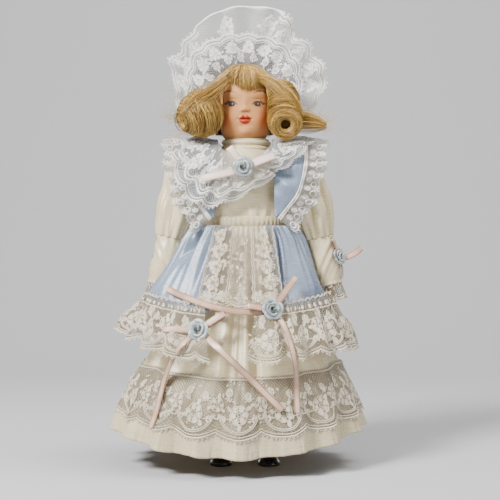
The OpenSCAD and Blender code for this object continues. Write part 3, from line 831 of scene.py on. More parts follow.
def bodice():
    def point(u, v):
        a = u * TAU
        wide, deep, z = spline(BODICE_ROWS, v * BODICE_ROWS[-1][0])
        front = np.exp(-((a - TAU * 0.75) / 0.9) ** 2)
        crease = 0.75 * np.sin(z * 0.42 + 3.4 * np.cos(a) + 0.8) * front * smooth_step(z, 110, 116)
        crease = crease + 0.45 * np.cos(17 * a + 1.5 * np.sin(5 * a)) * bell(z, 109, 6)
        tight = 0.3 * np.cos(60 * a) * np.exp(-v * 14)
        across = wide * squarish(a)
        return across, BODY_Y + (deep + crease + tight) * np.sin(a), z + 0.3 * np.sin(a * 9) * np.exp(-v * 20)
    piece = sheet("bodice_satin", point, 300, 60, CREAM, (95, 36), closed=True, thick=0.25)
    attach(piece, "torso", "cream_satin", "bodice")


def waistband():
    def point(u, v):
        a = u * TAU
        z = 110.0 - v * 4.6
        puff = 0.5 * np.sin(np.pi * v) + 0.22 * np.cos(58 * a + 2 * np.sin(3 * a)) * v
        z = z + 0.35 * np.sin(a * 11 + 1) * v
        return (18.6 + puff) * squarish(a), BODY_Y + (12.5 + puff) * np.sin(a), z
    piece = sheet("waist_seam_satin", point, 400, 10, CREAM, (100, 5), closed=True, thick=0.3)
    attach(piece, "torso", "cream_satin", "waistband")


def neck_band():
    def point(u, v):
        a = u * TAU
        z = 139.2 + v * 5.2
        fold = 0.95 * np.abs(np.sin(np.pi * (v * 2 + 0.16 * np.sin(a + 2.2)))) ** 0.8
        out = fold + 0.15 * np.sin(7 * a + 5 * v) - 0.7 * v
        return 0.6 + (10.5 + out) * np.cos(a), BODY_Y + (9.9 + out) * np.sin(a), z
    piece = sheet("neck_band_satin", point, 160, 36, CREAM, (64, 7), closed=True, thick=0.3)
    attach(piece, "torso", "cream_satin", "neck_band")


# The seam of each shoulder panel: distance along it, its point, and the direction its lace stands out in.
SEAM_FRONT = [
    (0, 14.5, -13.2, 109.0, 0.75, 0.20, -0.65), (7, 18.5, -13.6, 114.0, 0.86, 0.30, -0.42),
    (14, 22.5, -13.6, 119.5, 0.93, 0.36, -0.20), (22, 25.0, -13.4, 127.0, 0.94, 0.34, -0.02),
    (32, 26.2, -11.6, 136.0, 0.98, 0.18, 0.06), (39, 26.4, -6.0, 141.8, 1.0, 0.05, 0.08)]
SEAM_TOP = [(48, 26.4, 2.0, 144.0, 1.0, 0.0, 0.02)]
SEAM_LONG = 96
SEAM_BACK = [(SEAM_LONG - s, x, 4 - y, z, wx, -wy, wz) for s, x, y, z, wx, wy, wz in reversed(SEAM_FRONT)]
SEAM = SEAM_FRONT + SEAM_TOP + SEAM_BACK


def shoulder_panel(side, name):
    """Satin strap over one shoulder, widest at the top and narrow at the waist."""
    inner = [(s, 12.2 + 0.02 * abs(SEAM_LONG / 2 - s), y + (0.5 if y < 2 else -0.5), z + 0.6)
             for s, _, y, z, *_ in SEAM]

    def point(u, v):
        s = u * SEAM_LONG
        outer = spline(SEAM, s)[:3]
        edge = spline(inner, s)
        x, y, z = (edge[i] + (outer[i] - edge[i]) * v for i in range(3))
        dip = 1.1 * np.sin(np.pi * v) * wave(u * 22, 5) * bell(u, 0.25, 0.12)
        lift = 0.7 * np.sin(np.pi * v) + dip + 0.25 * np.sin(u * 60 + v * 5)
        turn = np.clip((s - 36) / 24, 0, 1) * np.pi
        return side * x, y - lift * np.cos(turn), z + lift * np.sin(turn)
    piece = sheet(name + "_shoulder_satin", point, 200, 26, BLUE, (96, 12), thick=0.25)
    attach(piece, "torso", "blue_satin", name + "_shoulder_panel")


def shoulder_lace(side, name):
    """Eyelet ruffle along the outer seam of the shoulder panel, with a corded heading."""
    length, width, pitch = 150.0, 10.5, 5.4
    line = scalloped(width, pitch, 1.7)

    def place(u, v, h):
        s = u / length * SEAM_LONG
        x, y, z, wx, wy, wz = spline(SEAM, s)
        turn = np.clip((s - 34) / 28, 0, 1) * np.pi
        ruffle = (0.15 + 1.15 * v / width) * np.sin(u * 0.78 + wave(u / 12, 3)) + h + 0.9
        rise = (ruffle - 0.018 * v ** 2) * np.sin(turn)
        out = v * (0.92 + 0.08 * np.cos(u * 0.3))
        return side * (x + wx * out), y + wy * out - ruffle * np.cos(turn), z + wz * out + rise

    def draw(work):
        edge_work(work, length, line)
        u = np.linspace(0, length, 300)
        for v in (0.3, 1.3):
            work.cord(u, v, 0.9, 0.4)
        eyelet = np.linspace(0, TAU, 11)[:-1]
        for k in range(int(length / pitch)):
            middle = (k + 0.5) * pitch
            work.cord(middle + 1.5 * np.cos(eyelet), width - 3.0 + 1.5 * np.sin(eyelet), 0.8, 0.35,
                      closed=True)
            work.flower(middle + pitch / 2, width * 0.42, 3.2, 5, k)
    lace_band(name + "_shoulder_lace", "torso", place, (length, width), (420, 16), WHITE_LACE, draw, line)


# Neckline and edge of each wide collar lace: distance along, neckline point, edge point.
BERTHA_BACK = [
    (52, 12, 6.5, 143.6, 31, 7.5, 142.0), (63, 8, 12, 141.6, 24, 17.4, 129),
    (74, 0, 13.6, 140.6, 0, 18.2, 121)]
RIGHT_BERTHA = [
    (-6, 7, -13.9, 132.0, 14, -15.8, 127.5), (0, 3, -14.2, 132.4, 6, -16.4, 122.5),
    (8, -2.5, -14.0, 133.4, -6, -16.6, 116.2), (17, -7.5, -12.8, 137.2, -18, -16.2, 114.2),
    (26, -10.8, -11.6, 140.2, -27, -15.6, 120.5), (34, -12.2, -9.4, 142.4, -31.5, -14.4, 131.0),
    (43, -12.6, -2.4, 144.3, -32.5, -6.5, 141.6)]
RIGHT_BERTHA += [(s, -ax, ay, az, -bx, by, bz) for s, ax, ay, az, bx, by, bz in BERTHA_BACK]
LEFT_BERTHA = [
    (0, 2.5, -14.9, 133.4, 8, -16.4, 128.6), (8, 5.5, -14.4, 135.8, 15, -15.9, 129.4),
    (16, 9.0, -12.8, 138.6, 22, -14.8, 134.0), (24, 11.5, -10.2, 141.6, 28, -12.6, 140.4),
    (33, 12.5, -5.4, 143.6, 31, -7.4, 143.8), (43, 12.6, 0.5, 144.3, 32, 0.0, 143.6)]
LEFT_BERTHA += BERTHA_BACK


def collar_lace(name, keys, start, seed):
    """Wide gathered lace from the middle of the front, over one shoulder, to the middle of the back."""
    width, pitch = 20.0, 11.0
    length = (keys[-1][0] - start) * 1.35
    line = scalloped(width, pitch, 2.2)

    def place(u, v, h):
        s = start + u / length * (keys[-1][0] - start)
        ax, ay, az, bx, by, bz = spline(keys, s)
        t = v / width
        turn = np.clip((s - 30) / 28, 0, 1) * np.pi
        ripple = (0.15 + 0.95 * t) * np.sin(u * 0.52 + seed + wave(u / 14, seed))
        bulge = 2.0 * np.sin(np.pi * np.minimum(t, 1)) + ripple + h
        y = ay + (by - ay) * t - bulge * np.cos(turn)
        return ax + (bx - ax) * t, y, az + (bz - az) * t + bulge * np.sin(turn) * 0.8

    def draw(work):
        rng = random.Random(seed)
        edge_work(work, length, line)
        u = np.linspace(0, length, 240)
        work.cord(u, width - 4.6 + 1.1 * np.sin(u * TAU / pitch), 0.9, 0.35)
        work.cord(u, width - 6.0 + 1.1 * np.sin(u * TAU / pitch), 0.5, 0.25)
        for k in range(int(length / pitch)):
            middle = (k + 0.5) * pitch
            work.flower(middle, width * 0.50, 7.6, 6, rng.uniform(0, 1))
            work.flower(middle + pitch / 2, width * 0.28, 5.0, 5, rng.uniform(0, 1))
            spiral = np.linspace(0.6, 5.6, 22)
            work.cord(middle - 3.6 + 0.42 * spiral * np.cos(spiral + k),
                      width * 0.36 + 0.42 * spiral * np.sin(spiral + k), 0.75, 0.3)
            work.spray(middle + 2.6, width * 0.6, 5.2, 0.7, 3)
            for _ in range(16):
                work.leaf(middle + rng.uniform(-0.5, 0.5) * pitch, rng.uniform(1, width - 5),
                          rng.uniform(1.0, 2.0), rng.uniform(0.7, 1.2), rng.uniform(0, TAU))
    lace_band(name + "_collar_lace", "torso", place, (length, width), (260, 26), WHITE_LACE, draw, line)


# ---------------------------------------------------------------- arms

def on_arm(side, x, y, z):
    """From an arm's own frame, shoulder at 0 and the arm along -Z, to the doll."""
    c, s = math.cos(ARM_SLOPE), math.sin(ARM_SLOPE)
    return side * (SHOULDER[0] + x * c - z * s), SHOULDER[1] + y, SHOULDER[2] + x * s + z * c


# Down a sleeve: distance along it, x and z of its middle, and its radii across and in depth.
SLEEVE_ROWS = [
    (0, 15.5, 133.6, 6.6, 8.6), (5, 19.4, 134.6, 8.2, 9.4), (10, 24.0, 132.0, 9.0, 9.4),
    (16, 26.6, 126.6, 9.2, 8.8), (24, 28.7, 118.6, 9.0, 8.6), (32, 30.6, 110.6, 8.8, 8.4),
    (37.5, 31.9, 105.4, 7.9, 7.7), (42.5, 33.1, 100.4, 6.7, 6.6)]
SLEEVE_LONG = SLEEVE_ROWS[-1][0]


def sleeve(side, name):
    """Puffed sleeve sewn to the bodice, curving from the torso down the arm."""
    middle = [row[:3] for row in SLEEVE_ROWS]

    def point(u, v):
        a = u * TAU
        s = v * SLEEVE_LONG
        x, z, across, deep = spline(SLEEVE_ROWS, s)
        dx, dz = spline(middle, np.minimum(s + 0.5, SLEEVE_LONG)) - spline(middle, np.maximum(s - 0.5, 0))
        norm = np.hypot(dx, dz)
        ridges = np.abs(np.cos(3.5 * a + 0.45 * np.sin(a) + 0.5 * side + 1.2 * v)) ** 0.8 - 0.64
        broad = 2.7 * ridges * np.sin(np.pi * np.clip(v, 0, 1)) ** 0.5
        tight = 0.65 * np.cos(13 * a + 1.2 * np.sin(a)) * (np.exp(-v * 5) + np.exp(-(1 - v) * 3.5))
        crease = 1.1 * wave(np.cos(a) * 2 + v * 6, 6 + side) * np.sin(np.pi * v)
        r = broad + tight + crease
        out = (across + r) * np.cos(a)
        return side * (x - dz / norm * out), SHOULDER[1] + (deep + r) * np.sin(a), z + dx / norm * out
    piece = sheet(name + "_sleeve_satin", point, 200, 90, CREAM, (58, 44), closed=True, thick=0.25)
    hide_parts(name + "_sleeve")
    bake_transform(piece)


def lower_sleeve(side, name):
    def point(u, v):
        a = u * TAU
        z = -33.6 - v * 21.6
        r = 6.45 + 0.35 * np.sin(np.pi * v) - 0.75 * smooth_step(v, 0.6, 1.0)
        r = r + 0.5 * wave(np.cos(a) * 3 + v * 7, 17) + 0.22 * np.cos(14 * a) * np.exp(-v * 6)
        r = r + 0.25 * bell(v, 0.02, 0.02) + 0.25 * bell(v, 0.98, 0.02)
        return on_arm(side, r * np.cos(a), r * np.sin(a), z)
    piece = sheet(name + "_lower_sleeve_satin", point, 130, 50, CREAM, (41, 22), closed=True, thick=0.25)
    attach(piece, name + "_arm", "cream_satin", name + "_lower_sleeve")


def cuff_lace(side, name):
    length, width, pitch = 44.0, 10.4, 4.4
    line = scalloped(width, pitch, 1.0)

    def place(u, v, h):
        a = TAU * u / length
        r = 5.3 + 0.075 * v + (0.1 + 0.06 * v) * np.cos(9 * a) + h
        return on_arm(side, r * np.cos(a), r * np.sin(a), -51.8 - v * 0.98)

    def draw(work):
        edge_work(work, length, line)
        u = np.linspace(0, length, 120)
        work.cord(u, 0.5, 0.8, 0.35)
        for k in range(10):
            work.flower((k + 0.5) * pitch, 3.4, 3.0, 5, k)
            work.leaf(k * pitch, 2.0, 1.6, 0.9, 1.2)
            work.leaf(k * pitch, 4.6, 1.6, 0.9, 1.9)
    lace_band(name + "_cuff_lace", name + "_arm", place, (length, width), (120, 12), SKIRT_LACE, draw, line,
              closed=True)


# ---------------------------------------------------------------- ribbons and rolled roses

RIBBON_THICK = 0.22
# Places across a ribbon where it has points, and how near each point round it is to an edge.
RIBBON_ACROSS = np.array([-1, -0.93, -0.5, 0, 0.5, 0.93, 1])
RIBBON_EDGE = np.array([1.0, 1, 0.1, 0, 0.1, 1, 1, 1, 1, 0.1, 0, 0.1, 1, 1])


def ribbon_strip(bundle, points, facing, width, steps=40, cup=0.12, twist=0.0, level=None):
    """Flat ribbon through the points, slightly cupped, its face towards `facing`.

    `level` sets its way across.
    """
    points = np.asarray(points, float)
    keys = np.column_stack([np.arange(len(points)), points])
    s = np.linspace(0, len(points) - 1, steps)
    s = np.concatenate([[0, 0.02], s[1:-1], [s[-1] - 0.02, s[-1]]])
    steps = len(s)
    path = spline(keys, s).T
    along = directions(path, False, 0)
    face = np.broadcast_to(np.asarray(facing, float), path.shape)
    flat = unit(np.cross(face, along) if level is None else np.broadcast_to(level, path.shape))
    up = np.cross(along, flat)
    angle = twist * np.sin(np.linspace(0, math.pi, steps))[:, None]
    across = flat * np.cos(angle) + up * np.sin(angle)
    normal = up * np.cos(angle) - flat * np.sin(angle)

    def line(k, half):
        return path + across * width / 2 * k + normal * (half - cup * k * k)
    top = [line(k, RIBBON_THICK / 2) for k in RIBBON_ACROSS]
    under = [line(k, -RIBBON_THICK / 2) for k in RIBBON_ACROSS[::-1]]
    rings = np.stack(top + under, 1)
    bundle.add(rings.reshape(-1, 3), tube_faces(steps, rings.shape[1]))


def ribbon_loop(bundle, root, tip, facing, width, gap):
    """A flattened loop of a bow: out to the tip in front, folded over, and back behind."""
    root, tip, facing = (np.asarray(k, float) for k in (root, tip, facing))
    reach = tip - root
    level = np.cross(facing, reach)
    out = unit(np.cross(reach, level))
    turn = np.linspace(0, TAU, 15)[:, None]
    part = (1 - np.cos(turn)) / 2
    path = root + reach * part ** 0.8 + out * gap * np.sin(turn) * (0.35 + 0.65 * part)
    ribbon_strip(bundle, path, facing, width, 46, 0.05, level=level)


def ribbon_material(name, light, dark, edge):
    """Narrow satin ribbon: its edges are darker than its shiny middle."""
    t = Tree(name)
    place = t.place()
    blotch = t.noise(110, 3, place)
    rib = t.noise(3200, 2, place)
    edge_band = t.split(t.paint()[0])[0]
    t.bump(t.add(rib, t.mul(t.noise(700, 2, place), 0.7)), 0.05, 0.6)
    tone = t.mix(t.ramp(blotch, 0.35, 0.7), dark, light)
    return t.set(Base_Color=t.mix(t.ramp(edge_band, 0.12, 0.65, 0, 0.85), tone, edge),
                 Roughness=t.ramp(rib, 0.3, 0.7, 0.24, 0.38), Sheen_Weight=0.2, Specular_IOR_Level=0.55,
                 Anisotropic=0.3)


def rose_material():
    """Pale grey-blue satin of the rolled roses."""
    t = Tree("rose_ribbon")
    place = t.place()
    blotch = t.noise(260, 3, place)
    rib = t.noise(3000, 2, place)
    t.bump(t.add(rib, t.noise(900, 2, place)), 0.07, 0.7)
    return t.set(Base_Color=t.mix(t.ramp(blotch, 0.35, 0.65), (0.24, 0.275, 0.28), (0.50, 0.535, 0.52)),
                 Roughness=0.28, Sheen_Weight=0.2, Specular_IOR_Level=0.5)


PEACH = ribbon_material("peach_ribbon", (0.70, 0.48, 0.36), (0.48, 0.30, 0.20), (0.28, 0.15, 0.085))
PALE_PEACH = ribbon_material("pale_ribbon", (0.84, 0.67, 0.58), (0.70, 0.52, 0.44), (0.55, 0.38, 0.31))
ROSE = rose_material()


def ribbon_piece(name, bundle, material, body, node):
    """Makes a bow's ribbons one piece, and marks how near each point is to a ribbon's edge."""
    piece = bundle.piece(name, material)
    edge = np.tile(RIBBON_EDGE, len(piece.data.vertices) // len(RIBBON_EDGE))
    paint_points(piece, np.stack([edge, edge, edge], -1))
    attach(piece, body, "ribbon", node)


def frame_facing(normal):
    """Right, up and out directions for something that faces along `normal`."""
    out = unit(np.array(normal, float))
    right = unit(np.cross((0, 0, 1), out))
    return right, np.cross(out, right), out


def rolled_rose(name, middle, normal, size, body, node, seed):
    """A rose folded from one satin ribbon: a rolled bud inside petals that overlap and turn out."""
    rng = random.Random(seed)
    right, up, out = frame_facing(normal)
    bundle = Bundle()
    steps, across = 26, 9

    def petal(turn, span, radius, flare, base, tall):
        theta = turn + np.linspace(-0.5, 0.5, steps) * span
        ends = 1 - np.abs(np.linspace(-1, 1, steps)) ** 3
        rows = []
        for layer in (0, 1):
            for t in np.linspace(layer, 1 - layer, across):
                r = radius + flare * t ** 1.7 * (0.45 + 0.55 * ends) - 0.17 * layer
                r = r + 0.10 * size * np.linspace(-0.5, 0.5, steps) - 0.04 * size * (1 - ends)
                lift = base + tall * math.sin(t * math.pi * 0.70) * (0.55 + 0.45 * ends) - 0.08 * layer
                rows.append(np.stack([r * np.cos(theta), r * np.sin(theta), lift], -1))
        flat = np.stack(rows, 1).reshape(-1, 3)
        verts = np.asarray(middle) + flat[:, :1] * right + flat[:, 1:2] * up + flat[:, 2:] * out
        bundle.add(verts, tube_faces(steps, 2 * across))
    petal(0.4, 5.6, size * 0.07, size * 0.03, 0.2, size * 0.34)
    petal(2.4, 4.6, size * 0.13, size * 0.06, 0.2, size * 0.31)
    for k in range(3):
        petal(k * TAU / 3 + rng.uniform(0, 0.5), 2.9, size * 0.19, size * 0.13, 0.1, size * 0.26)
    for k in range(5):
        petal(k * TAU / 5 + rng.uniform(0, 0.4), 1.9, size * 0.26, size * 0.24, 0.0, size * 0.17)
    a = np.linspace(0, TAU, 25)[:-1]
    disc = np.column_stack([size * 0.36 * np.cos(a), size * 0.36 * np.sin(a)])
    under = np.asarray(middle) + disc[:, :1] * right + disc[:, 1:] * up
    bundle.add(np.concatenate([under, under + 0.5 * out]), tube_faces(2, len(a)))
    piece = bundle.piece(name + "_rolled_rose", ROSE)
    attach(piece, body, "rosette_satin", node)


def front_y(x, z, off):
    """How far forward the front of the dress is at (x, z), plus `off` mm."""
    over = z > 47
    out = 2.4 + 3.6 * np.clip((67.6 - z) / 19.5, 0, 1) if over else 2.8
    wide, deep = skirt_size(z, over)
    return -(deep + out) * math.sqrt(max(0.0, 1 - ((x - sway(z)) / (wide + out)) ** 2)) - off


def skirt_bow(name, middle, loops, tails, seed):
    """A bow on the skirt: folded loops and long tails round a rose, given as (x, z, lift off the skirt)."""
    bundle = Bundle()
    x, z = middle
    facing = ((x - sway(z)) / 60, -1, 0.3)
    root = (x, front_y(x, z, 1.6), z)
    for tip_x, tip_z, lift in loops:
        ribbon_loop(bundle, root, (tip_x, front_y(tip_x, tip_z, lift), tip_z), facing, 2.8, 1.1)
    for tail in tails:
        points = [(a, front_y(a, b, off), b) for a, b, off in tail]
        slope = (tail[len(tail) // 2][0] - sway(z)) / 40
        ribbon_strip(bundle, points, (slope * 0.7, -1, 0.35), 2.8, twist=0.25 if seed else -0.25)
    ribbon_piece(name + "_ribbon", bundle, PEACH, "torso", name + "_skirt_bow")
    rolled_rose(name + "_skirt", (x, front_y(x, z, 1.8), z), ((x - sway(z)) / 55, -1, 0.25), 9.4, "torso",
                name + "_skirt_rosette", seed + 2)


def collar_bow():
    """Two folded loops and one tail under the chin, where the collar laces meet."""
    bundle = Bundle()
    y = -18.2
    root = (-0.6, y + 0.2, 131.0)
    ribbon_loop(bundle, root, (12.8, y - 0.6, 136.0), (0.1, -1, 0.3), 3.6, 1.0)
    ribbon_loop(bundle, root, (-6.8, y + 0.6, 139.6), (-0.1, -1, 0.3), 3.4, 1.0)
    tail = [(-1, y, 130.2), (-6, y - 0.9, 128.9), (-13, y - 0.8, 127.4), (-18.8, y - 0.3, 125.8)]
    ribbon_strip(bundle, tail, (0, -1, 0.25), 3.4, twist=0.12)
    ribbon_piece("collar_ribbon", bundle, PALE_PEACH, "torso", "collar_bow")
    rolled_rose("collar", (-0.8, y - 0.5, 130.8), (0, -1, 0.12), 9.4, "torso", "collar_rosette", 5)


def wrist_bow(side, name):
    """The left one lies towards the front of the wrist, the right one round towards its back."""
    bundle = Bundle()
    turn = math.radians(-22 if side > 0 else 62)
    base = 7.0

    def at(r, swing, z):
        return np.array(on_arm(side, r * math.cos(turn + swing), r * math.sin(turn + swing), z))
    out = at(2, 0, -44) - at(1, 0, -44)
    facing = np.array((side * 0.25, -1, 0.35)) if side > 0 else out
    root = at(base + 0.6, 0, -43.8)
    ribbon_loop(bundle, root, at(base + 1.0, -0.35, -35.6), out, 2.7, 0.8)
    if side > 0:
        tail = [(0, 0.1, -44.2), (3.4, 0.3, -44.8), (7.4, 0.4, -44.2), (11.2, 0.4, -42.4)]
    else:
        tail = [(0, 0.1, -44.4), (1.4, 0.3, -45.6), (2.0, 0.5, -46.6)]
    ribbon_strip(bundle, [at(base + r, swing, z) for r, swing, z in tail], facing, 2.8 if side > 0 else 2.7)
    hanging = [at(base, 0.05, -45.4), at(base + 0.8, 0.18, -49), at(base - 0.2, 0.22, -53.5)]
    ribbon_strip(bundle, hanging, out, 2.7)
    ribbon_piece(name + "_wrist_ribbon", bundle, PEACH, name + "_arm", name + "_wrist_bow")
    look = (out + np.array([0, -0.5, 0.1])) if side > 0 else out
    rolled_rose(name + "_wrist", at(base + 0.3, 0, -43.6), look, 8.2, name + "_arm",
                name + "_wrist_rosette", 4)


bodice()
waistband()
neck_band()
for side, name in ((1, "left"), (-1, "right")):
    shoulder_panel(side, name)
    shoulder_lace(side, name)
    sleeve(side, name)
    lower_sleeve(side, name)
    cuff_lace(side, name)
    wrist_bow(side, name)
collar_lace("right", RIGHT_BERTHA, -6, 3)
collar_lace("left", LEFT_BERTHA, 0, 7)
collar_bow()
skirt_bow("left", (11.6, 70.0), [(1.2, 71.6, 3.2), (21.8, 83.4, 3.2)], [
    [(10.2, 69.4, 0.8), (-2, 69.2, 1.2), (-15, 71.6, 1.5), (-27, 75.6, 1.7), (-34.5, 78.4, 1.5)],
    [(13.4, 68.4, 1.1), (17.6, 61, 1.8), (20.6, 50, 2.2), (21.8, 38, 2.0), (22.0, 27.4, 1.8)]], 0)
skirt_bow("right", (-19.1, 61.6), [(-34.2, 61.6, 5.6), (-8.4, 68.4, 2.8)], [
    [(-21.2, 59.8, 1.1), (-27.6, 54, 1.8), (-33.4, 42, 2.2), (-37.0, 28, 2.0), (-39.6, 20.6, 1.6)],
    [(-16.8, 60, 1.1), (-8, 52, 1.8), (3.6, 40.6, 2.2), (15.6, 28.6, 1.8)]], 1)


# ---------------------------------------------------------------- porcelain head, sculpted and painted

def bisque_material():
    """Matt fired porcelain, tinted in the clay, with a fine grain and softly painted features."""
    t = Tree("bisque")
    colour, gloss = t.paint()
    place = t.place()
    grain = t.noise(5200, 2, place)
    cloud = t.noise(170, 3, place)
    t.bump(grain, 0.012, 0.35)
    tone = t.mix(t.ramp(cloud, 0.35, 0.7, 0, 0.10), colour, (0.60, 0.30, 0.13))
    tone = t.mix(t.ramp(grain, 0.55, 0.8, 0, 0.10), tone, (0.40, 0.22, 0.13))
    return t.set(Base_Color=tone, Roughness=t.ramp(gloss, 0, 1, 0.55, 0.25), Specular_IOR_Level=0.15,
                 Subsurface_Weight=0.03, Subsurface_Scale=0.002)


BISQUE = bisque_material()
# Colour of the tinted porcelain before it is painted.
SKIN = np.array([0.50, 0.228, 0.084])


def relief(x, z):
    """How far the features stand out of the plain face, in mm, seen from the front."""
    side = np.abs(x)
    out = 0.45 * bell(x, 0, 1.3) * bell(z, 161.2, 3.0)
    out += 0.95 * bell(x, 0, 1.4) * bell(z, 158.4, 1.2) + 0.42 * bell(side, 1.5, 0.8) * bell(z, 157.9, 0.85)
    out -= 0.25 * bell(x, 0, 1.6) * bell(z, 156.9, 0.45)
    out -= 0.75 * bell(side, 5.6, 2.7) * bell(z, 161.5, 1.9)
    out += 0.55 * bell(side, 5.8, 1.9) * bell(z, 161.0, 1.0)
    out += 0.16 * bell(side, 5.8, 2.3) * (bell(z, 162.35, 0.3) + 0.7 * bell(z, 159.75, 0.28))
    out -= 0.14 * bell(side, 5.8, 2.3) * bell(z, 162.95, 0.28)
    out += 0.3 * bell(side, 6.2, 3.0) * bell(z, 165.2, 1.6)
    out += 0.7 * bell(side, 6.9, 3.2) * bell(z, 154.4, 3.2)
    out += 0.75 * bell(side, 1.1, 1.05) * bell(z, 154.85, 0.6) + 0.75 * bell(x, 0, 1.75) * bell(z, 153.1, 0.7)
    out -= 0.42 * bell(x, 0, 2.6) * bell(z, 154.05, 0.22)
    out -= 0.22 * bell(x, 0, 0.5) * bell(z, 155.7, 0.7) + 0.3 * bell(side, 3.0, 0.5) * bell(z, 154.1, 0.6)
    out -= 0.4 * bell(x, 0, 2.3) * bell(z, 151.3, 0.75)
    out += 0.95 * bell(x, 0, 2.8) * bell(z, 148.3, 1.9)
    return out


def soft_edge(signed, blur=0.14):
    """1 inside a shape and 0 outside it, from its distance, positive inside."""
    return np.clip(signed / blur + 0.5, 0, 1)


def stroke(x, z, points, wide, narrow=0.03):
    """A painted brush line through the points, thinning towards its last one."""
    points = np.asarray(points, float)
    mask = np.zeros(len(x))
    for k in range(len(points) - 1):
        a, b = points[k], points[k + 1]
        d = b - a
        t = np.clip(((x - a[0]) * d[0] + (z - a[1]) * d[1]) / (d @ d), 0, 1)
        gap = np.hypot(x - a[0] - t * d[0], z - a[1] - t * d[1])
        half = np.interp((k + t) / (len(points) - 1), [0, 1], [wide, narrow]) / 2
        mask = np.maximum(mask, soft_edge(half - gap, 0.16))
    return mask


# Painted lines of the doll's left side as (x, z), and the paints of brows and lashes.
BROW_IN = [(6.6, 166.6), (5.2, 166.2), (3.6, 165.3)]
BROW_OUT = [(6.6, 166.6), (8.2, 166.6), (9.6, 166.0), (10.3, 165.5)]
LID_CREASE = [(4.0, 162.5), (5.2, 163.25), (6.6, 163.2), (8.2, 162.5)]
MOUTH_HALF, MOUTH_Z = 2.85, 154.05
BROW_BROWN, LASH_BROWN = (0.16, 0.055, 0.018), (0.02, 0.011, 0.008)


def face_paint(x, z, front):
    """Skin, blush, brows, eyes and lips over points of the head; front is 1 on the face's side."""
    colours = np.tile(SKIN, (len(x), 1))
    side = np.abs(x)

    def paint(mask, colour):
        colours[:] += (np.asarray(colour) - colours) * np.clip(mask, 0, 1)[:, None]
    paint(0.35 * bell(z, 167, 5) * front, (0.55, 0.27, 0.12))
    paint(0.85 * bell(side, 9.9, 3.4) * bell(z, 154.2, 4.4) * front, (0.58, 0.115, 0.03))
    paint(0.3 * bell(side, 5.5, 1.5) * bell(z, 156.4, 1.5) * front, (0.56, 0.23, 0.10))
    paint(0.35 * bell(x, 0, 2.4) * bell(z, 148.2, 1.8) * front, (0.54, 0.24, 0.11))
    # Dark nostrils: painted shade in the nostril hollows.
    paint(0.6 * bell(side, 0.8, 0.4) * bell(z, 157.45, 0.3) * front, (0.24, 0.09, 0.04))
    gloss = np.zeros(len(x))
    for s in (-1, 1):
        for brow in BROW_IN, BROW_OUT:
            mask = stroke(x, z, [(s * a, b) for a, b in brow], 1.0, 0.25) * front
            paint(0.8 * mask, BROW_BROWN)
        paint(0.25 * stroke(x, z, [(s * a, b) for a, b in LID_CREASE], 0.3, 0.1) * front, BROW_BROWN)
        ex, ez = s * 5.7 - 0.15, 160.6
        half = np.maximum(1 - ((x - ex) / 2.25) ** 2, 0)
        upper, lower = ez + 1.35 * half ** 0.75, ez - 0.95 * half
        white = soft_edge(np.minimum(upper - z, z - lower), 0.2) * (half > 0) * front
        paint(0.7 * white, (0.24, 0.20, 0.19))
        # Painted shade: the upper part of each eye white is darkened where the upper lid shades it.
        paint(0.5 * white * soft_edge(z - ez - 0.55, 0.8), (0.16, 0.15, 0.17))
        cx = ex - s * 0.05
        ring = np.hypot(x - cx, z - ez - 0.05)
        paint(soft_edge(1.45 - ring) * white, (0.008, 0.010, 0.016))
        iris = np.array((0.018, 0.028, 0.048)) if s < 0 else np.array((0.03, 0.022, 0.026))
        paint(soft_edge(1.08 - ring, 0.3) * white, iris)
        paint(soft_edge(0.82 - ring, 0.2) * white, (0.003, 0.003, 0.004))
        # A painted highlight: a small pale glint on each iris.
        light = np.hypot(x - cx - 0.32, z - ez - 0.22)
        paint(soft_edge(0.17 - light, 0.1) * white, (0.7, 0.7, 0.72))
        gloss = np.maximum(gloss, 0.1 * white)
        lid = [(ex - s * 2.3, ez), (ex - s * 1.4, ez + 1.0), (ex, ez + 1.45), (ex + s * 1.4, ez + 1.05),
               (ex + s * 2.5, ez + 0.05)]
        paint(0.9 * stroke(x, z, lid, 0.55, 0.45) * front, LASH_BROWN)
        under = [(ex - s * 1.6, ez - 0.65), (ex, ez - 1.02), (ex + s * 1.7, ez - 0.6)]
        paint(0.45 * stroke(x, z, under, 0.2, 0.2) * front, BROW_BROWN)
        for k in range(6):
            root = (ex + s * (1.0 + 0.3 * k), ez + 1.25 - 0.19 * k)
            tip = (root[0] + s * (0.6 + 0.16 * k), root[1] + 1.05 - 0.17 * k)
            paint(0.85 * stroke(x, z, [root, tip], 0.46, 0.16) * front, LASH_BROWN)
        for k in range(3):
            root = (ex + s * (0.9 + 0.45 * k), ez - 0.85 + 0.12 * k)
            tip = (root[0] + s * 0.4, root[1] - 0.6)
            paint(0.45 * stroke(x, z, [root, tip], 0.18, 0.08) * front, LASH_BROWN)
    spread = np.maximum(1 - (side / MOUTH_HALF) ** 2, 0)
    top = MOUTH_Z + 0.55 * spread + 1.5 * bell(side, 1.15, 1.05) * spread
    low = MOUTH_Z - 2.2 * spread ** 0.6
    lips = soft_edge(np.minimum(top - z, z - low), 0.22) * (side < MOUTH_HALF) * front
    paint(lips, (0.34, 0.022, 0.010))
    # A painted highlight: a lighter, more orange band along the middle of the lower lip.
    paint(lips * 0.6 * bell(z, 153.1, 0.5) * bell(x, 0, 1.7), (0.48, 0.05, 0.022))
    paint(lips * 0.8 * soft_edge(0.16 - np.abs(z - 154.1 + 0.12 * spread)), (0.20, 0.012, 0.008))
    gloss = np.maximum(gloss, 0.15 * lips)
    return colours, gloss


HEAD_MIDDLE = 1.0
# The face's own heights, in relief() and face_paint(), are this much above their places on the head.
FACE_DROP = 1.3
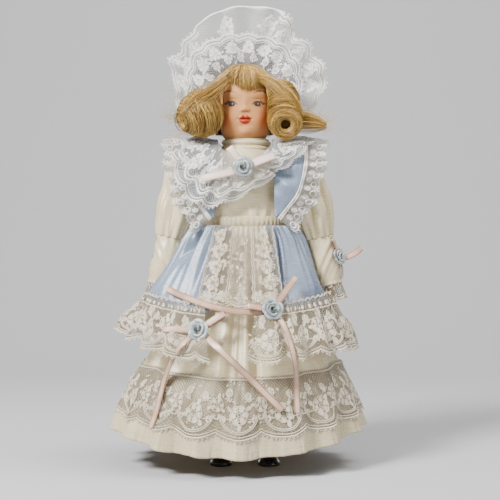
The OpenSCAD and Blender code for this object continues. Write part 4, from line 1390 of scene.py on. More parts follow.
# The head from the neck up: height, half width, depth in front and depth behind.
HEAD_ROWS = [
    (132.6, 7.0, 7.0, 7.0), (137, 6.9, 6.9, 6.9), (142.4, 6.9, 6.9, 7.2), (143.6, 7.5, 7.5, 8.0),
    (144.2, 8.2, 8.6, 8.6), (144.9, 9.0, 9.7, 9.2), (146.8, 10.3, 10.6, 10.0), (150.0, 11.2, 11.1, 10.9),
    (154.2, 11.7, 11.3, 11.6), (159.4, 11.8, 11.3, 11.8), (164.0, 11.5, 11.2, 11.6),
    (167.8, 10.5, 10.1, 10.6), (171.0, 8.5, 8.1, 8.5), (173.0, 5.9, 5.6, 5.9), (174.0, 2.8, 2.8, 2.8),
    (174.2, 0.05, 0.05, 0.05)]


def head():
    """Fine rows and columns over the face, and coarser ones behind."""
    keys = [(k, *row) for k, row in enumerate(HEAD_ROWS)]
    s = np.concatenate([np.linspace(0, 4, 34)[:-1], np.linspace(4, 11, 250)[:-1], np.linspace(11, 15, 30)])
    z, wide, front_deep, back_deep = spline(keys, s)
    front_half = np.linspace(-165, -15, 300)[:-1]
    back_half = np.linspace(-15, 195, 76)[:-1]
    a = np.radians(np.concatenate([front_half, back_half]))
    a, z = np.meshgrid(a, z)
    wide, front_deep, back_deep = wide[:, None], front_deep[:, None], back_deep[:, None]
    facing = np.clip(-np.sin(a), 0, 1)
    flat = 1 + 0.05 * np.sin(2 * a) ** 2 * smooth_step(z, 144, 150)
    x = wide * np.cos(a) * flat
    deep = np.where(np.sin(a) < 0, front_deep, back_deep)
    y = HEAD_MIDDLE + deep * np.sin(a) * flat
    y = y - relief(x, z + FACE_DROP) * smooth_step(facing, 0.05, 0.5)
    verts = np.stack([x, y, z], -1).reshape(-1, 3)
    rows, cols = a.shape
    piece = finish_mesh("porcelain_head", verts, grid_faces(rows, cols, True), BISQUE)
    front = smooth_step(facing, 0.02, 0.3).ravel()
    colours, gloss = face_paint(verts[:, 0], verts[:, 2] + FACE_DROP, front)
    paint_points(piece, colours, gloss)
    attach(piece, "head", "bisque", "head_shell")


# ---------------------------------------------------------------- mohair wig

def hair_material():
    """Mohair that takes its colour from each fibre's paint."""
    t = Tree("mohair")
    colour, tip = t.paint()
    place = t.place()
    tone = t.mix(t.ramp(t.noise(900, 3, place), 0.35, 0.65, 0, 0.3), colour, (0.28, 0.14, 0.035))
    t.bump(t.noise(3400, 2, place), 0.04, 0.5)
    return t.set(Base_Color=tone, Roughness=t.ramp(tip, 0, 1, 0.38, 0.5), Specular_IOR_Level=0.4,
                 Sheen_Weight=0.04, Sheen_Roughness=0.4)


MOHAIR = hair_material()
HAIR_DARK = np.array([0.07, 0.028, 0.003])
HAIR_MIDDLE = np.array([0.37, 0.195, 0.028])
HAIR_LIGHT = np.array([0.86, 0.60, 0.16])


def hair_tone(t):
    """Colour from 0, the darkest fibres and the painted shade of the hollows, to 1, a bright strand."""
    t = np.clip(np.asarray(t, float), 0, 1)[..., None]
    low = HAIR_DARK + (HAIR_MIDDLE - HAIR_DARK) * np.clip(t * 2, 0, 1)
    return low + (HAIR_LIGHT - HAIR_MIDDLE) * np.clip(t * 2 - 1, 0, 1)


def strand_mesh(paths, radius, tone):
    """Three-sided fibres along paths (n, points, 3); radius and tone are one per fibre."""
    n, points = paths.shape[:2]
    along = unit(np.gradient(paths, axis=1), 1e-9)
    least = np.argmin(np.abs(along).mean(1), axis=1)
    side = unit(np.cross(along, np.eye(3)[least][:, None, :]), 1e-9)
    other = np.cross(along, side)
    taper = np.interp(np.linspace(0, 1, points), [0, 0.12, 0.75, 1], [0.7, 1, 0.9, 0.25])
    r = (np.broadcast_to(radius, n)[:, None] * taper)[..., None, None]
    angle = np.arange(3) * TAU / 3
    ring = side[:, :, None] * np.cos(angle)[:, None] + other[:, :, None] * np.sin(angle)[:, None]
    verts = paths[:, :, None] + ring * r
    base = (np.arange(n) * points * 3)[:, None, None]
    i = np.arange(points - 1)[None, :, None] * 3
    k = np.arange(3)[None, None, :]
    a, b = base + i + k, base + i + (k + 1) % 3
    quads = np.stack([a, b, b + 3, a + 3], -1).reshape(-1, 4).tolist()
    first = base[:, 0, 0][:, None]
    last = first + (points - 1) * 3
    caps = np.concatenate([first + [2, 1, 0], last + [0, 1, 2]]).tolist()
    colours = np.repeat(hair_tone(np.broadcast_to(tone, n)), points * 3, 0)
    return verts.reshape(-1, 3), quads + caps, colours


def hair_piece(name, node, parts):
    """One piece of hair from parts of (vertices, faces, colours)."""
    verts, faces, colours, count = [], [], [], 0
    for v, f, c in parts:
        verts.append(v)
        colours.append(c)
        faces += [[k + count for k in face] for face in f]
        count += len(v)
    piece = finish_mesh(name, np.concatenate(verts), faces, MOHAIR)
    paint_points(piece, np.concatenate(colours))
    attach(piece, "head", "mohair", node)
    return piece


def scalp(a, phi, out):
    """A point `out` mm off the head at direction a round it and angle phi up from its middle."""
    wide = (11.6 + out) * np.cos(phi)
    return np.stack([wide * np.cos(a), HEAD_MIDDLE + wide * np.sin(a), 160 + (14 + out) * np.sin(phi)], -1)


def fringe_low(a):
    """How low the hair comes at direction a, in degrees up from the head's middle."""
    off = (np.degrees(a) + 270) % 360 - 180
    return np.interp(off, [-180, -80, -62, -50, -38, -22, -8, 5, 20, 35, 48, 62, 80, 180],
                     [-44, -6, 22, 34, 41, 38, 29, 26, 28, 33, 31, 18, -6, -44])


def wig_base():
    """A smooth cap of hair under the loose fibres, so that no scalp shows between them."""
    a, t = np.meshgrid(np.linspace(0, TAU, 181)[:-1], np.linspace(0, 1, 60))
    low = np.radians(fringe_low(a) + 3)
    phi = TAU / 4 - 0.02 - (TAU / 4 - 0.02 - low) * t
    lift = 0.7 + 2.3 * np.sin(np.pi * np.clip(1.1 - t, 0, 0.5)) + 0.25 * wave(a * 26, 3) * np.sin(np.pi * t)
    verts = scalp(a, phi, lift).reshape(-1, 3)
    # A middling tone, with its last rows along the lower edge darker: painted shade at the hairline.
    tone = 0.42 + 0.28 * wave(a * 60, 9) * np.ones_like(t) - 0.3 * (t > 0.95)
    faces = grid_faces(60, 180, True).tolist()
    hair_piece("wig_base", "wig_cap", [(verts, faces, hair_tone(tone).reshape(-1, 3))])


def comb(rng, count, around, wide_spread, low_noise, points, out0, out1):
    """Fibres combed from the crown outwards, ending along the hairline."""
    end = np.radians(rng.uniform(*around, count))
    start = -TAU / 4 + (end + TAU / 4) * wide_spread + rng.normal(0, 0.15, count)
    t = np.linspace(0, 1, points)
    a = start[:, None] + (end - start)[:, None] * t ** 0.7
    foot = np.radians(fringe_low(end) + rng.normal(0, low_noise, count))
    top = np.radians(rng.uniform(62, 86, count))
    phi = top[:, None] + (foot - top)[:, None] * t ** 1.15
    height = rng.uniform(0.05, 0.22, count)[:, None]
    phase = rng.uniform(0, TAU, count)[:, None]
    turns = rng.uniform(5, 12, count)[:, None]
    wavy = height * np.sin(phase + t * turns)
    off = np.abs((np.degrees(end) + 270) % 360 - 180)
    last = np.maximum(out1, np.interp(off, [0, 35, 60, 85, 180], [0.9, 1.4, 3.4, 3.8, 2.0]))[:, None]
    swell = 1.3 * np.sin(np.pi * t)
    out = out0 + (last - out0) * t ** 1.8 + swell + rng.uniform(-0.6, 0.35, count)[:, None] + wavy
    return scalp(a + wavy * 0.09, phi, out)


def fringe():
    """The hair combed over the forehead, a few stray fibres, and a loose lock in front of each ear."""
    rng = np.random.default_rng(11)
    paths = comb(rng, 2200, (-172, -8), 0.35, 4.2, 12, 3.4, 0.9)
    tone = np.clip(rng.normal(0.5, 0.24, 2200) + 0.4 * wave(paths[:, 6, 0] * 1.6, 9), 0.0, 1)
    parts = [strand_mesh(paths, rng.uniform(0.08, 0.16, 2200), tone)]
    stray = comb(rng, 60, (-150, -30), 0.4, 6.0, 12, 4.0, 1.6)
    parts.append(strand_mesh(stray, 0.05, np.full(60, 0.8)))
    for side, count in ((-1, 26), (1, 34)):
        t = np.linspace(0, 1, 14)
        edge = 11.2 if side > 0 else 11.4
        root = rng.uniform(-0.9, 0.9, count)[:, None]
        z = 170 - 24.0 * t * rng.uniform(0.72, 1.05, count)[:, None]
        x = side * (edge - 1.6 * (1 - t) ** 2 + 0.5 * root + 0.35 * np.sin(6 * t + root * 3) + 1.3 * t ** 3)
        y = -5.6 - 2.2 * np.sin(np.pi * t) + root * 0.8
        tone = rng.uniform(0.5, 1.0, count)
        parts.append(strand_mesh(np.stack([x, y + 0 * x, z], -1), rng.uniform(0.06, 0.12, count), tone))
    hair_piece("combed_fringe", "hair_fringe", parts)


def hair_behind():
    rng = np.random.default_rng(5)
    count = 1100
    paths = comb(rng, count, (-14, 194), 0.75, 2.5, 14, 2.6, 1.3)
    tone = np.clip(rng.normal(0.5, 0.2, count), 0.05, 1)
    hair_piece("combed_back_hair", "back_hair", [strand_mesh(paths, rng.uniform(0.09, 0.17, count), tone)])


def axis_frame(keys, s):
    """Middle, directions across, up and along, and radius of a roll of hair at s on its axis, from 0 to 1."""
    rows = [(k / (len(keys) - 1), *key) for k, key in enumerate(keys)]
    *middle, r = spline(rows, s)
    step = spline(rows, np.minimum(s + 0.01, 1)) - spline(rows, np.maximum(s - 0.01, 0))
    along = unit(np.moveaxis(step[:3], 0, -1))
    side = unit(np.cross(along, [0.0, -0.35, 0.94]))
    return np.stack(middle, -1), side, np.cross(side, along), along, r


def round_axis(axis, r, angle, shift):
    """Points at radius r and an angle round a roll's axis, moved along it by shift mm."""
    middle, side, up, along = axis
    round_it = side * (r * np.cos(angle))[..., None] + up * (r * np.sin(angle))[..., None]
    return middle + round_it + along * shift[..., None]


def roll_core(keys, seed, hole):
    """The solid middle of a roll: its skin, its closed start, and a hollow that spirals into its open end."""
    rows, cols = 90, 72
    s, a = np.meshgrid(np.linspace(0, 1, rows), np.arange(cols) * TAU / cols, indexing="ij")
    *axis, r = axis_frame(keys, s)
    band = wave(s * 34 + 0.7 * np.sin(a + 1), seed, 5)
    r = r * (1 + 0.04 * band) - 0.9
    shell = round_axis(axis, r, a, 0 * a)
    # The core is toned darker than the fibres wound over it: painted shade between the fibres.
    tone = 0.30 + 0.26 * wave(s * 120 + 1.5 * np.sin(a), seed + 1, 4) + 0.14 * band
    last = [part[-1] for part in axis]
    # The hollow darkens towards its middle and its closing cap is darkest: painted shade inside the open end.
    inner, hollow_shades = [], []
    for t in np.linspace(0, 1, 14)[1:]:
        out = 0.7 * math.sin(math.pi * t) - 2.6 * t ** 1.6
        inner.append(round_axis(last, r[-1] * ((1 - t) + hole * t), a[-1], np.full(cols, out)))
        hollow_shades.append(0.34 - 0.34 * t + 0.18 * np.sin(a[-1] + t * 22))
    middle, along = axis[0], axis[3]
    close = [middle[-1] + (inner[-1] - inner[-1].mean(0)) * 0.02 - along[-1] * 3.4]
    start = [middle[0] + (shell[0] - middle[0]) * f - along[0] * (1 - f ** 2) * 3 for f in (0.02, 0.45, 0.8)]
    grid = np.concatenate([np.stack(start), shell, np.stack(inner), np.stack(close)])
    tone = np.concatenate([np.full((3, cols), 0.35), tone, np.stack(hollow_shades), np.zeros((1, cols))])
    return grid.reshape(-1, 3), grid_faces(len(grid), cols, True).tolist(), hair_tone(tone).reshape(-1, 3)


def roll(name, node, keys, count, slope, seed, hole, extra):
    """Hair wound in a roll about an axis; fibres run round it, and spiral into its open end."""
    rng = np.random.default_rng(seed)
    points = 15
    t = np.linspace(0, 1, points)

    def draw(low, high, number=count):
        return rng.uniform(low, high, (number, 1))

    # Wound fibres.
    place = draw(0.0, 1.0)
    turn = draw(0, TAU)
    turns = draw(2.2, 5.2)
    angle = turn + turns * t
    drift = rng.normal(0, 0.06, (count, 1)) * np.sin(angle + draw(0, TAU))
    at = place + slope * 0.010 * turns * (t - 0.5) + drift
    inside = np.clip(at, 0, 1)
    *axis, r = axis_frame(keys, inside)
    r = r * (1 + 0.04 * wave(inside * 34 + 0.7 * np.sin(angle + 1), seed, 5)) - 0.9
    r = r + 2.1 * draw(0, 1) ** 2.2
    r = r + 0.35 * np.sin(angle * 2.0 + draw(0, TAU))
    paths = round_axis(axis, r, angle, (at - inside) * 18)
    bright = rng.normal(0.5, 0.22, count) + 0.42 * wave(place[:, 0] * 30 + 0.5 * np.sin(turn[:, 0]), seed + 2)
    wound = strand_mesh(paths, rng.uniform(0.08, 0.17, count), np.clip(bright, 0.0, 1))

    # Loose fibres that lift off the roll.
    loose = 170
    angle = draw(0, TAU, loose) + draw(0.8, 2.0, loose) * t
    *axis, r = axis_frame(keys, np.broadcast_to(draw(0.05, 0.98, loose), angle.shape))
    r = r + draw(0.2, 2.2, loose) * t ** 1.7 - 0.2
    paths = round_axis(axis, r, angle, rng.normal(0, 1.6, loose)[:, None] * t ** 1.5)
    lifted = strand_mesh(paths, rng.uniform(0.04, 0.08, loose), np.clip(rng.normal(0.65, 0.2, loose), 0, 1))

    # Fibres that spiral into the open end.
    spirals = count // 4
    angle = draw(0, TAU, spirals) + np.linspace(0, 5.0, points)
    shrink = np.linspace(1.0, hole + 0.04, points) ** 0.9 * draw(0.76, 1.04, spirals)
    *axis, r = axis_frame(keys, np.ones((spirals, points)))
    depth = 2.4 * (1 - shrink).clip(0) ** 1.6 - 0.75 * np.sin(np.pi * shrink.clip(0, 1))
    depth = depth - draw(0, 0.5, spirals)
    paths = round_axis(axis, r * shrink, angle, -depth)
    end = strand_mesh(paths, rng.uniform(0.08, 0.16, spirals), np.clip(rng.normal(0.45, 0.32, spirals), 0, 1))
    piece = hair_piece(name, node, [roll_core(keys, seed, hole), wound, lifted, end, *extra])
    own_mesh(piece)


def wisps(rng, root, count, reach, lift, curl, radius=0.045):
    """Loose curly fibres that stray from a root point towards `reach`."""
    t = np.linspace(0, 1, 18)
    root = np.asarray(root, float) + rng.normal(0, 1.6, (count, 3))
    goal = root + np.asarray(reach, float) * rng.uniform(0.5, 1.15, (count, 1))
    goal = goal + rng.normal(0, 2.2, (count, 3))
    path = root[:, None] + (goal - root)[:, None] * t[:, None]
    phase = rng.uniform(0, TAU, (count, 1))
    turns = rng.uniform(2.5, 6.0, (count, 1))
    size = rng.uniform(0.3, 1.0, (count, 1)) * curl * t
    bow = lift * np.sin(math.pi * t) * rng.uniform(-1, 1, (count, 1))
    path[..., 2] += bow + size * np.sin(phase + turns * t)
    path[..., 0] += size * np.cos(phase + turns * t)
    return strand_mesh(path, radius, rng.uniform(0.45, 0.95, count))


def sweep(rng, points, count, spread):
    """Fibres combed through a row of points, fanning out by `spread` mm on the way."""
    rows = [(k / (len(points) - 1), *point) for k, point in enumerate(points)]
    t = np.linspace(0, 1, 14)
    path = np.stack(spline(rows, t), -1)
    wide = 0.3 + 0.7 * np.sin(np.pi * (t * 0.7 + 0.1))
    fan = rng.normal(0, 1, (count, 1, 3)) * spread * [1, 0.5, 1] * wide[:, None]
    bend = rng.normal(0, 0.5, (count, 1, 3)) * np.sin(np.pi * t)[:, None]
    return strand_mesh(path + fan + bend, rng.uniform(0.05, 0.11, count), rng.uniform(0.25, 0.95, count))


# Middles and radii of the two rolls, and the way that hair is combed over each of them.
RIGHT_ROLL = [
    (-15.5, -6.5, 156.7, 6.5), (-17.8, -8.8, 155.6, 8.9), (-20.8, -11.2, 154.2, 9.0),
    (-24.2, -13.2, 152.6, 7.2), (-26.9, -14.6, 151.2, 4.0)]
RIGHT_SWEEP = [
    (-8.5, -9.5, 169.5), (-12, -12.5, 166.5), (-15.5, -15.8, 163.3), (-19.5, -18.0, 160.5),
    (-23.5, -19.0, 157.0), (-26.6, -18.2, 153.4)]
LEFT_ROLL = [
    (15.8, -5.0, 166.4, 4.0), (16.6, -7.2, 164.0, 5.2), (17.3, -8.6, 159.6, 6.0),
    (17.6, -10.4, 154.8, 6.4), (17.7, -13.6, 151.0, 6.3), (17.7, -16.2, 149.6, 5.4)]
LEFT_SWEEP = [
    (7.5, -9.5, 171), (12, -12.5, 168.5), (16.5, -14.4, 164.5), (20.5, -15.2, 160), (23.2, -14.8, 156.0),
    (24.0, -14.8, 152.9)]


def side_tuft(rng, count=240):
    """A thick tuft that sticks out beyond the left roll."""
    t = np.linspace(0, 1, 16)
    spread = rng.normal(0, 1, (count, 1, 3)) * np.array([0.3, 1.2, 1.5])
    core = np.stack([20.5 + 15.5 * t, -8.0 - 1.5 * t, 151.8 - 2.2 * t + 1.4 * np.sin(3.0 * t)], -1)
    width = (1.35 * np.sin(np.pi * (0.22 + 0.7 * t)))[:, None]
    radius = rng.uniform(0.08, 0.15, count)
    return strand_mesh(core + spread * width, radius, np.clip(rng.normal(0.6, 0.2, count), 0, 1))


def curls():
    rng = np.random.default_rng(21)
    right = [
        wisps(rng, (-30, -12, 153), 44, (-5.5, -1, 2.5), 2.5, 2.4),
        wisps(rng, (-27, -10, 147), 26, (-5, -1, -3.5), 1.5, 2.0),
        wisps(rng, (-29, -8, 159), 10, (-9, 0, 6), 6, 4.5, 0.04),
        sweep(rng, RIGHT_SWEEP, 170, 1.9)]
    roll("right_rolled_curl", "right_curl", RIGHT_ROLL, 2600, 1.6, 31, 0.2, right)
    left = [
        side_tuft(rng),
        wisps(rng, (34.5, -9, 150), 44, (4.0, 0, 2.5), 3, 3.0),
        wisps(rng, (32, -8, 152), 8, (7, 0, 9), 3, 4.0, 0.04),
        wisps(rng, (16.5, -13, 144.8), 16, (-2, -1, -2), 1, 1.2),
        sweep(rng, LEFT_SWEEP, 110, 1.6)]
    roll("left_rolled_curl", "left_curl", LEFT_ROLL, 2600, 0.5, 41, 0.42, left)


# ---------------------------------------------------------------- bonnet

# Height of the bonnet's middle.
BONNET = 163.0


def dome_point(a, phi):
    """Gathered crown behind the head: a is the direction seen from behind, phi from rim to middle."""
    pucker = 0.45 * np.cos(40 * a + 1.5 * np.sin(5 * a)) * bell(phi, 0.15, 0.3)
    pucker = pucker + 0.5 * np.cos(18 * a + 2 * np.sin(3 * a)) * np.sin(phi) ** 2 * np.cos(phi)
    r = 20.6 * np.cos(phi) ** 0.9 + pucker
    z = BONNET + r * np.sin(a)
    return r * np.cos(a), 2.0 + (18 + pucker) * np.sin(phi), np.where(z < 147, 147 + (z - 147) * 0.1, z)


def bonnet_crown():
    def point(u, v):
        return dome_point(u * TAU, v * (TAU / 4 - 0.01))
    piece = sheet("bonnet_crown_satin", point, 260, 50, CREAM, (128, 32), closed=True, thick=0.3)
    attach(piece, "head", "cream_satin", "bonnet_crown")


def bonnet_brim():
    start, end = math.radians(196), math.radians(-16)

    def point(u, v):
        a = start + (end - start) * u
        wide, tall = 15.2 + 9.4 * v, 13.6 + 13.4 * v
        ripple = 0.35 * np.cos(46 * a) * np.exp(-v * 6) + 0.3 * wave(a * 6, 4) * v
        return wide * np.cos(a), 1.2 - 1.5 * np.sin(np.pi * v * 0.8) + ripple, BONNET + tall * np.sin(a)
    piece = sheet("bonnet_brim_satin", point, 260, 20, BLUE, (90, 10), thick=0.5)
    attach(piece, "head", "blue_satin", "bonnet_brim")


# The lace edge round the face: direction in degrees about the bonnet's middle, and distance.
OUTER_EDGE = [
    (-14, 29.5), (-6, 31.6), (2, 34.0), (13, 37.2), (23, 38.0), (31.5, 36.2), (38, 37.4), (45, 36.6),
    (52, 35.6), (57, 39.0), (63, 42.0), (70, 42.2), (77, 41.4), (92, 41.0), (110, 40.2), (120, 39.2),
    (126, 38.8), (133, 36.8), (139, 37.2), (146, 35.6), (153, 37.8), (160, 35.2), (166, 32.6),
    (173, 31.4), (180, 30.6), (190, 31.0), (200, 31.6), (206, 31.0)]
INNER_EDGE = [
    (-14, 23.2), (0, 25.2), (13, 26.3), (32, 28.4), (52, 29.3), (71, 28.6), (90, 28.3), (110, 29.2),
    (127, 30.0), (142, 30.4), (153, 28.8), (166, 27.0), (180, 26.0), (196, 25.2), (206, 24.6)]


def face_lace(name, edge, inside, width, length, depth, base, seed, pitch, motifs, plain=None):
    """Gathered lace that stands round the face from one side of the neck to the other.

    It is scalloped by `pitch`, but for a stretch that is plain, if `plain` gives its two ends in mm.
    """
    wavy = scalloped(width, pitch, 1.6)
    low, high = plain or (0.0, 0.0)

    def line(u):
        straight = smooth_step(u, low - 1, low + 1) * (1 - smooth_step(u, high - 1, high + 1))
        straight = straight * (plain is not None)
        return wavy(u) * (1 - straight) + (width - 0.3) * straight
    rows = [(math.radians(degrees), reach) for degrees, reach in edge]
    first, last = rows[-1][0], rows[0][0]

    def place(u, v, h):
        a = first + (last - first) * u / length
        reach = spline(rows, a)[0]
        t = v / width
        r = inside + (reach - inside) * t
        ripple = (0.2 + depth * t) * np.sin(u * 0.63 + 1.3 * wave(u / 7, seed))
        y = base - 2.4 * np.sin(np.pi * np.minimum(t, 1) * 0.75) + ripple - h
        return r * np.cos(a), y, BONNET + r * np.sin(a)

    def draw(work):
        rng = random.Random(seed)
        count = int(length / pitch)
        u = np.linspace(0, length, count * 12)
        for inset, broad in ((0.15, 0.75), (1.7, 0.7), (2.7, 0.35)):
            for edge_part in (u[u <= low], u[u >= high]) if plain else (u,):
                work.cord(edge_part, line(edge_part) - inset, broad, 0.3)
        u = np.linspace(0, length, 200)
        work.cord(u, 0.6, 0.8, 0.3)
        if plain is None:
            work.picots(0, length, line, 1.2)
        else:
            work.picots(0, low, line, 1.3)
            work.picots(high, length, line, 1.3)
            u = np.linspace(low - 1, high + 1, 90)
            work.cord(u, line(u), 1.1, 0.5)
        for k in range(count):
            motifs(work, rng, (k + 0.5) * pitch, k)
    lace_band(name, "head", place, (length, width), (int(length * 3.4), 26), WHITE_LACE, draw, line)


def outer_motifs(work, rng, middle, k):
    """Roses and sprays; the plain stretch at the top has a rose in every other repeat and nothing else."""
    top = 41 < middle < 73
    if top and k % 2:
        return
    work.flower(middle + rng.uniform(-1, 1), 9.6, 6.2, 6, rng.uniform(0, 1))
    work.spray(middle - 3.0, 12.0, 4.6, 0.2, 3)
    if top:
        return
    work.spray(middle + 3.4, 4.4, 4.4, 1.8, 3, -1)
    for _ in range(5):
        work.leaf(middle + rng.uniform(-0.5, 0.5) * 8, rng.uniform(3, 13), rng.uniform(1.2, 2.0),
                  rng.uniform(0.8, 1.2), rng.uniform(0, TAU))


def inner_motifs(work, rng, middle, k):
    work.flower(middle + rng.uniform(-0.5, 0.5), 8.4, 5.0, 6, rng.uniform(0, 1))
    work.flower(middle + 3.4, 4.2, 3.6, 5, rng.uniform(0, 1))
    work.spray(middle - 2.6, 6.0, 3.8, 0.4, 3)
    for _ in range(9):
        work.leaf(middle + rng.uniform(-0.5, 0.5) * 7, rng.uniform(1, 10.6), rng.uniform(1.0, 2.0),
                  rng.uniform(0.7, 1.2), rng.uniform(0, TAU))


head()
wig_base()
fringe()
hair_behind()
curls()
bonnet_crown()
bonnet_brim()
face_lace("bonnet_outer_lace", OUTER_EDGE, 20.0, 17.0, 116.0, 0.9, -0.6, 3, 8.3, outer_motifs, (42.7, 73.3))
face_lace("bonnet_inner_lace", INNER_EDGE, 13.6, 14.4, 84.0, 0.5, -3.0, 8, 7.0, inner_motifs)


# ---------------------------------------------------------------- stuffed cloth body and thread ties

def cotton_material():
    """Plain-weave cotton, slightly creased over its stuffing."""
    t = Tree("plain_cotton")
    cloth = t.uv()
    weave = t.weave(cloth, 0.45, 0.45)
    soft = t.noise(0.35, 3, cloth)
    t.bump(t.add(t.mul(weave, 0.5), t.mul(soft, 0.8)), 0.06, 0.7)
    tone = t.mix(t.ramp(soft, 0.35, 0.7), (0.56, 0.47, 0.35), (0.72, 0.64, 0.50))
    tone = t.mix(t.ramp(weave, -0.2, 1.0, 0, 0.25), tone, (0.78, 0.71, 0.58))
    return t.set(Base_Color=tone, Roughness=t.ramp(soft, 0.3, 0.7, 0.78, 0.9), Sheen_Weight=0.3)


def thread_material():
    t = Tree("twisted_thread")
    place = t.place()
    fuzz = t.noise(2600, 2, place)
    t.bump(fuzz, 0.05, 0.7)
    return t.set(Base_Color=t.mix(t.ramp(fuzz, 0.35, 0.7), (0.58, 0.52, 0.40), (0.80, 0.75, 0.64)),
                 Roughness=t.ramp(fuzz, 0.3, 0.7, 0.6, 0.8), Sheen_Weight=0.3)


COTTON = cotton_material()
THREAD = thread_material()


def stuffed(name, rows, place, body, node, crease, fill, seed, cols, count):
    """Stuffed cloth from rows of (height, half width, half depth), closed at both ends."""
    keys = [(k, *row) for k, row in enumerate(rows)]

    def point(u, v):
        a = u * TAU
        z, wide, deep = spline(keys, v * (len(rows) - 1))
        full = np.clip(np.minimum(wide, deep) / 3, 0, 1)
        dent = crease * wave(a * 3 + z * 0.35, seed)
        pull = 0.16 * np.cos(20 * a + 2 * np.sin(3 * a + seed)) * (v ** 6 + (1 - v) ** 6)
        seam = -0.28 * bell(np.sin(a / 2 - TAU / 8), 0, 0.05)
        grow = (dent + pull + seam) * full
        return place((wide + grow) * np.cos(a), (deep + grow) * np.sin(a), z)
    length = abs(rows[-1][0] - rows[0][0])
    around = TAU * max(row[1] for row in rows)
    piece = sheet(name, point, cols, count, COTTON, (around, length), closed=True)
    attach(piece, body, "cotton_cloth", node)


def wound_thread(name, ring, turns, thick, body, node):
    """Two-ply thread wound `turns` times along ring(angle, level), and tied off in a small knot."""
    bundle = Bundle()
    steps = 80 * turns
    t = np.linspace(0, 1, steps)
    for ply in (0, 1):
        spin = t * turns * 60 + ply * math.pi
        path = np.stack(ring(t * turns * TAU, (t - 0.5) * (turns - 1) * thick * 1.05), -1)
        away = unit(path - path.mean(0))
        up = np.cross(directions(path, False, 0), away)
        path = path + (away * np.cos(spin)[:, None] + up * np.sin(spin)[:, None]) * thick * 0.24
        bundle.tube(path, thick * 0.29, 6)
    knot = ring(TAU / 4 + np.array([-0.04, 0, 0.04]), np.array([0.0, 0.15, 0.0]) * thick)
    bundle.tube(np.stack(knot, -1), [thick * 0.4, thick * 0.75, thick * 0.4], 8)
    piece = bundle.piece(name, THREAD)
    attach(piece, body, "thread", node)


# Rows of (height, half width, half depth); an arm's heights are from its shoulder, down along the arm.
TORSO_ROWS = [
    (92.0, 0.2, 0.2), (92.1, 9.0, 6.4), (92.8, 12.4, 8.6), (97, 13.4, 9.2), (106, 12.6, 8.8),
    (114, 12.0, 8.6), (124, 13.6, 9.2), (129.5, 13.2, 9.2), (133, 11.4, 9.6), (136.6, 10.4, 10.2),
    (138.3, 10.0, 10.0), (139.4, 9.6, 9.6), (139.5, 7.5, 7.5), (136.0, 7.35, 7.35), (134.4, 7.35, 7.35)]
ARM_ROWS = [
    (4.9, 0.1, 0.1), (4.5, 2.0, 2.6), (2.5, 4.2, 4.3), (-1, 4.8, 4.5), (-8, 4.5, 4.4), (-18, 4.4, 4.4),
    (-27, 4.3, 4.3), (-29.9, 3.75, 3.75), (-31.2, 4.1, 4.1), (-32.3, 3.8, 3.8), (-32.4, 0.1, 0.1)]
THIGH_ROWS = [
    (98.2, 0.1, 0.1), (98.1, 3.5, 1.2), (96.8, 5.7, 4.0), (94, 6.1, 5.9), (88, 6.0, 6.1), (78, 5.9, 5.9),
    (66, 5.5, 5.5), (58, 5.2, 5.2), (56, 4.5, 4.5), (54.4, 5.0, 5.0), (52.9, 4.7, 4.7), (52.8, 0.1, 0.1)]
# Where thread is wound: height and radius.
NECK_TIE, ARM_TIE, LEG_TIE = (138.3, 10.55), (-29.9, 4.2), (56, 4.95)


def cloth_part(name, body, node, rows, place, crease, fill, seed, cells, tie, thread, tie_node, thick):
    """A stuffed cloth part and the thread that is wound round it, both in the part's own frame."""
    stuffed(name, rows, place, body, node, crease, fill, seed, *cells)
    level, radius = tie

    def ring(a, h):
        return place(radius * np.cos(a), radius * np.sin(a), level + h)
    wound_thread(thread, ring, 3, thick, body, tie_node)


def cloth_body():
    cloth_part("stuffed_torso", "torso", "cloth_torso", TORSO_ROWS, lambda x, y, z: (x, y + BODY_Y, z),
               0.3, 0.8, 3, (110, 90), NECK_TIE, "neck_thread", "neck_tie", 0.5)
    for side, name in ((1, "left"), (-1, "right")):
        cloth_part(name + "_padded_arm", name + "_arm", name + "_upper_arm", ARM_ROWS, partial(on_arm, side),
                   0.25, 0.7, 5, (80, 70), ARM_TIE, name + "_arm_thread", name + "_arm_tie", 0.42)
        cloth_part(name + "_padded_thigh", name + "_leg", name + "_thigh", THIGH_ROWS,
                   lambda x, y, z, side=side: (side * HIP[0] + x, HIP[1] + y, z),
                   0.3, 0.7, 7, (90, 90), LEG_TIE, name + "_leg_thread", name + "_leg_tie", 0.42)


# ---------------------------------------------------------------- porcelain arms, legs and shoes

def ring_loft(rows, place, cols=48):
    """Rows of (x, y, z, half width, half depth) skinned into a closed form."""
    a = np.arange(cols) * TAU / cols
    rings = [np.stack([x + w * np.cos(a), y + d * np.sin(a), np.full(cols, z)], -1) for x, y, z, w, d in rows]
    return np.stack(place(*np.concatenate(rings).T), -1), tube_faces(len(rows), cols)


def melt(piece, size, smooth=6):
    """Joins the overlapping parts of a mesh into one smooth skin."""
    merge = piece.modifiers.new("merge", "REMESH")
    merge.mode = "VOXEL"
    merge.voxel_size = size * MM
    merge.use_smooth_shade = True
    soften = piece.modifiers.new("soften", "SMOOTH")
    soften.iterations = smooth
    soften.factor = 0.5


def limb_material():
    """Tinted porcelain of the arms and legs, a little paler than the face."""
    t = Tree("limb_bisque")
    place = t.place()
    grain = t.noise(5000, 2, place)
    cloud = t.noise(180, 3, place)
    t.bump(grain, 0.012, 0.35)
    return t.set(Base_Color=t.mix(t.ramp(cloud, 0.35, 0.7), (0.64, 0.38, 0.24), (0.72, 0.46, 0.30)),
                 Roughness=t.ramp(grain, 0.3, 0.7, 0.45, 0.55), Specular_IOR_Level=0.4,
                 Subsurface_Weight=0.08, Subsurface_Scale=0.004)


LIMB_BISQUE = limb_material()
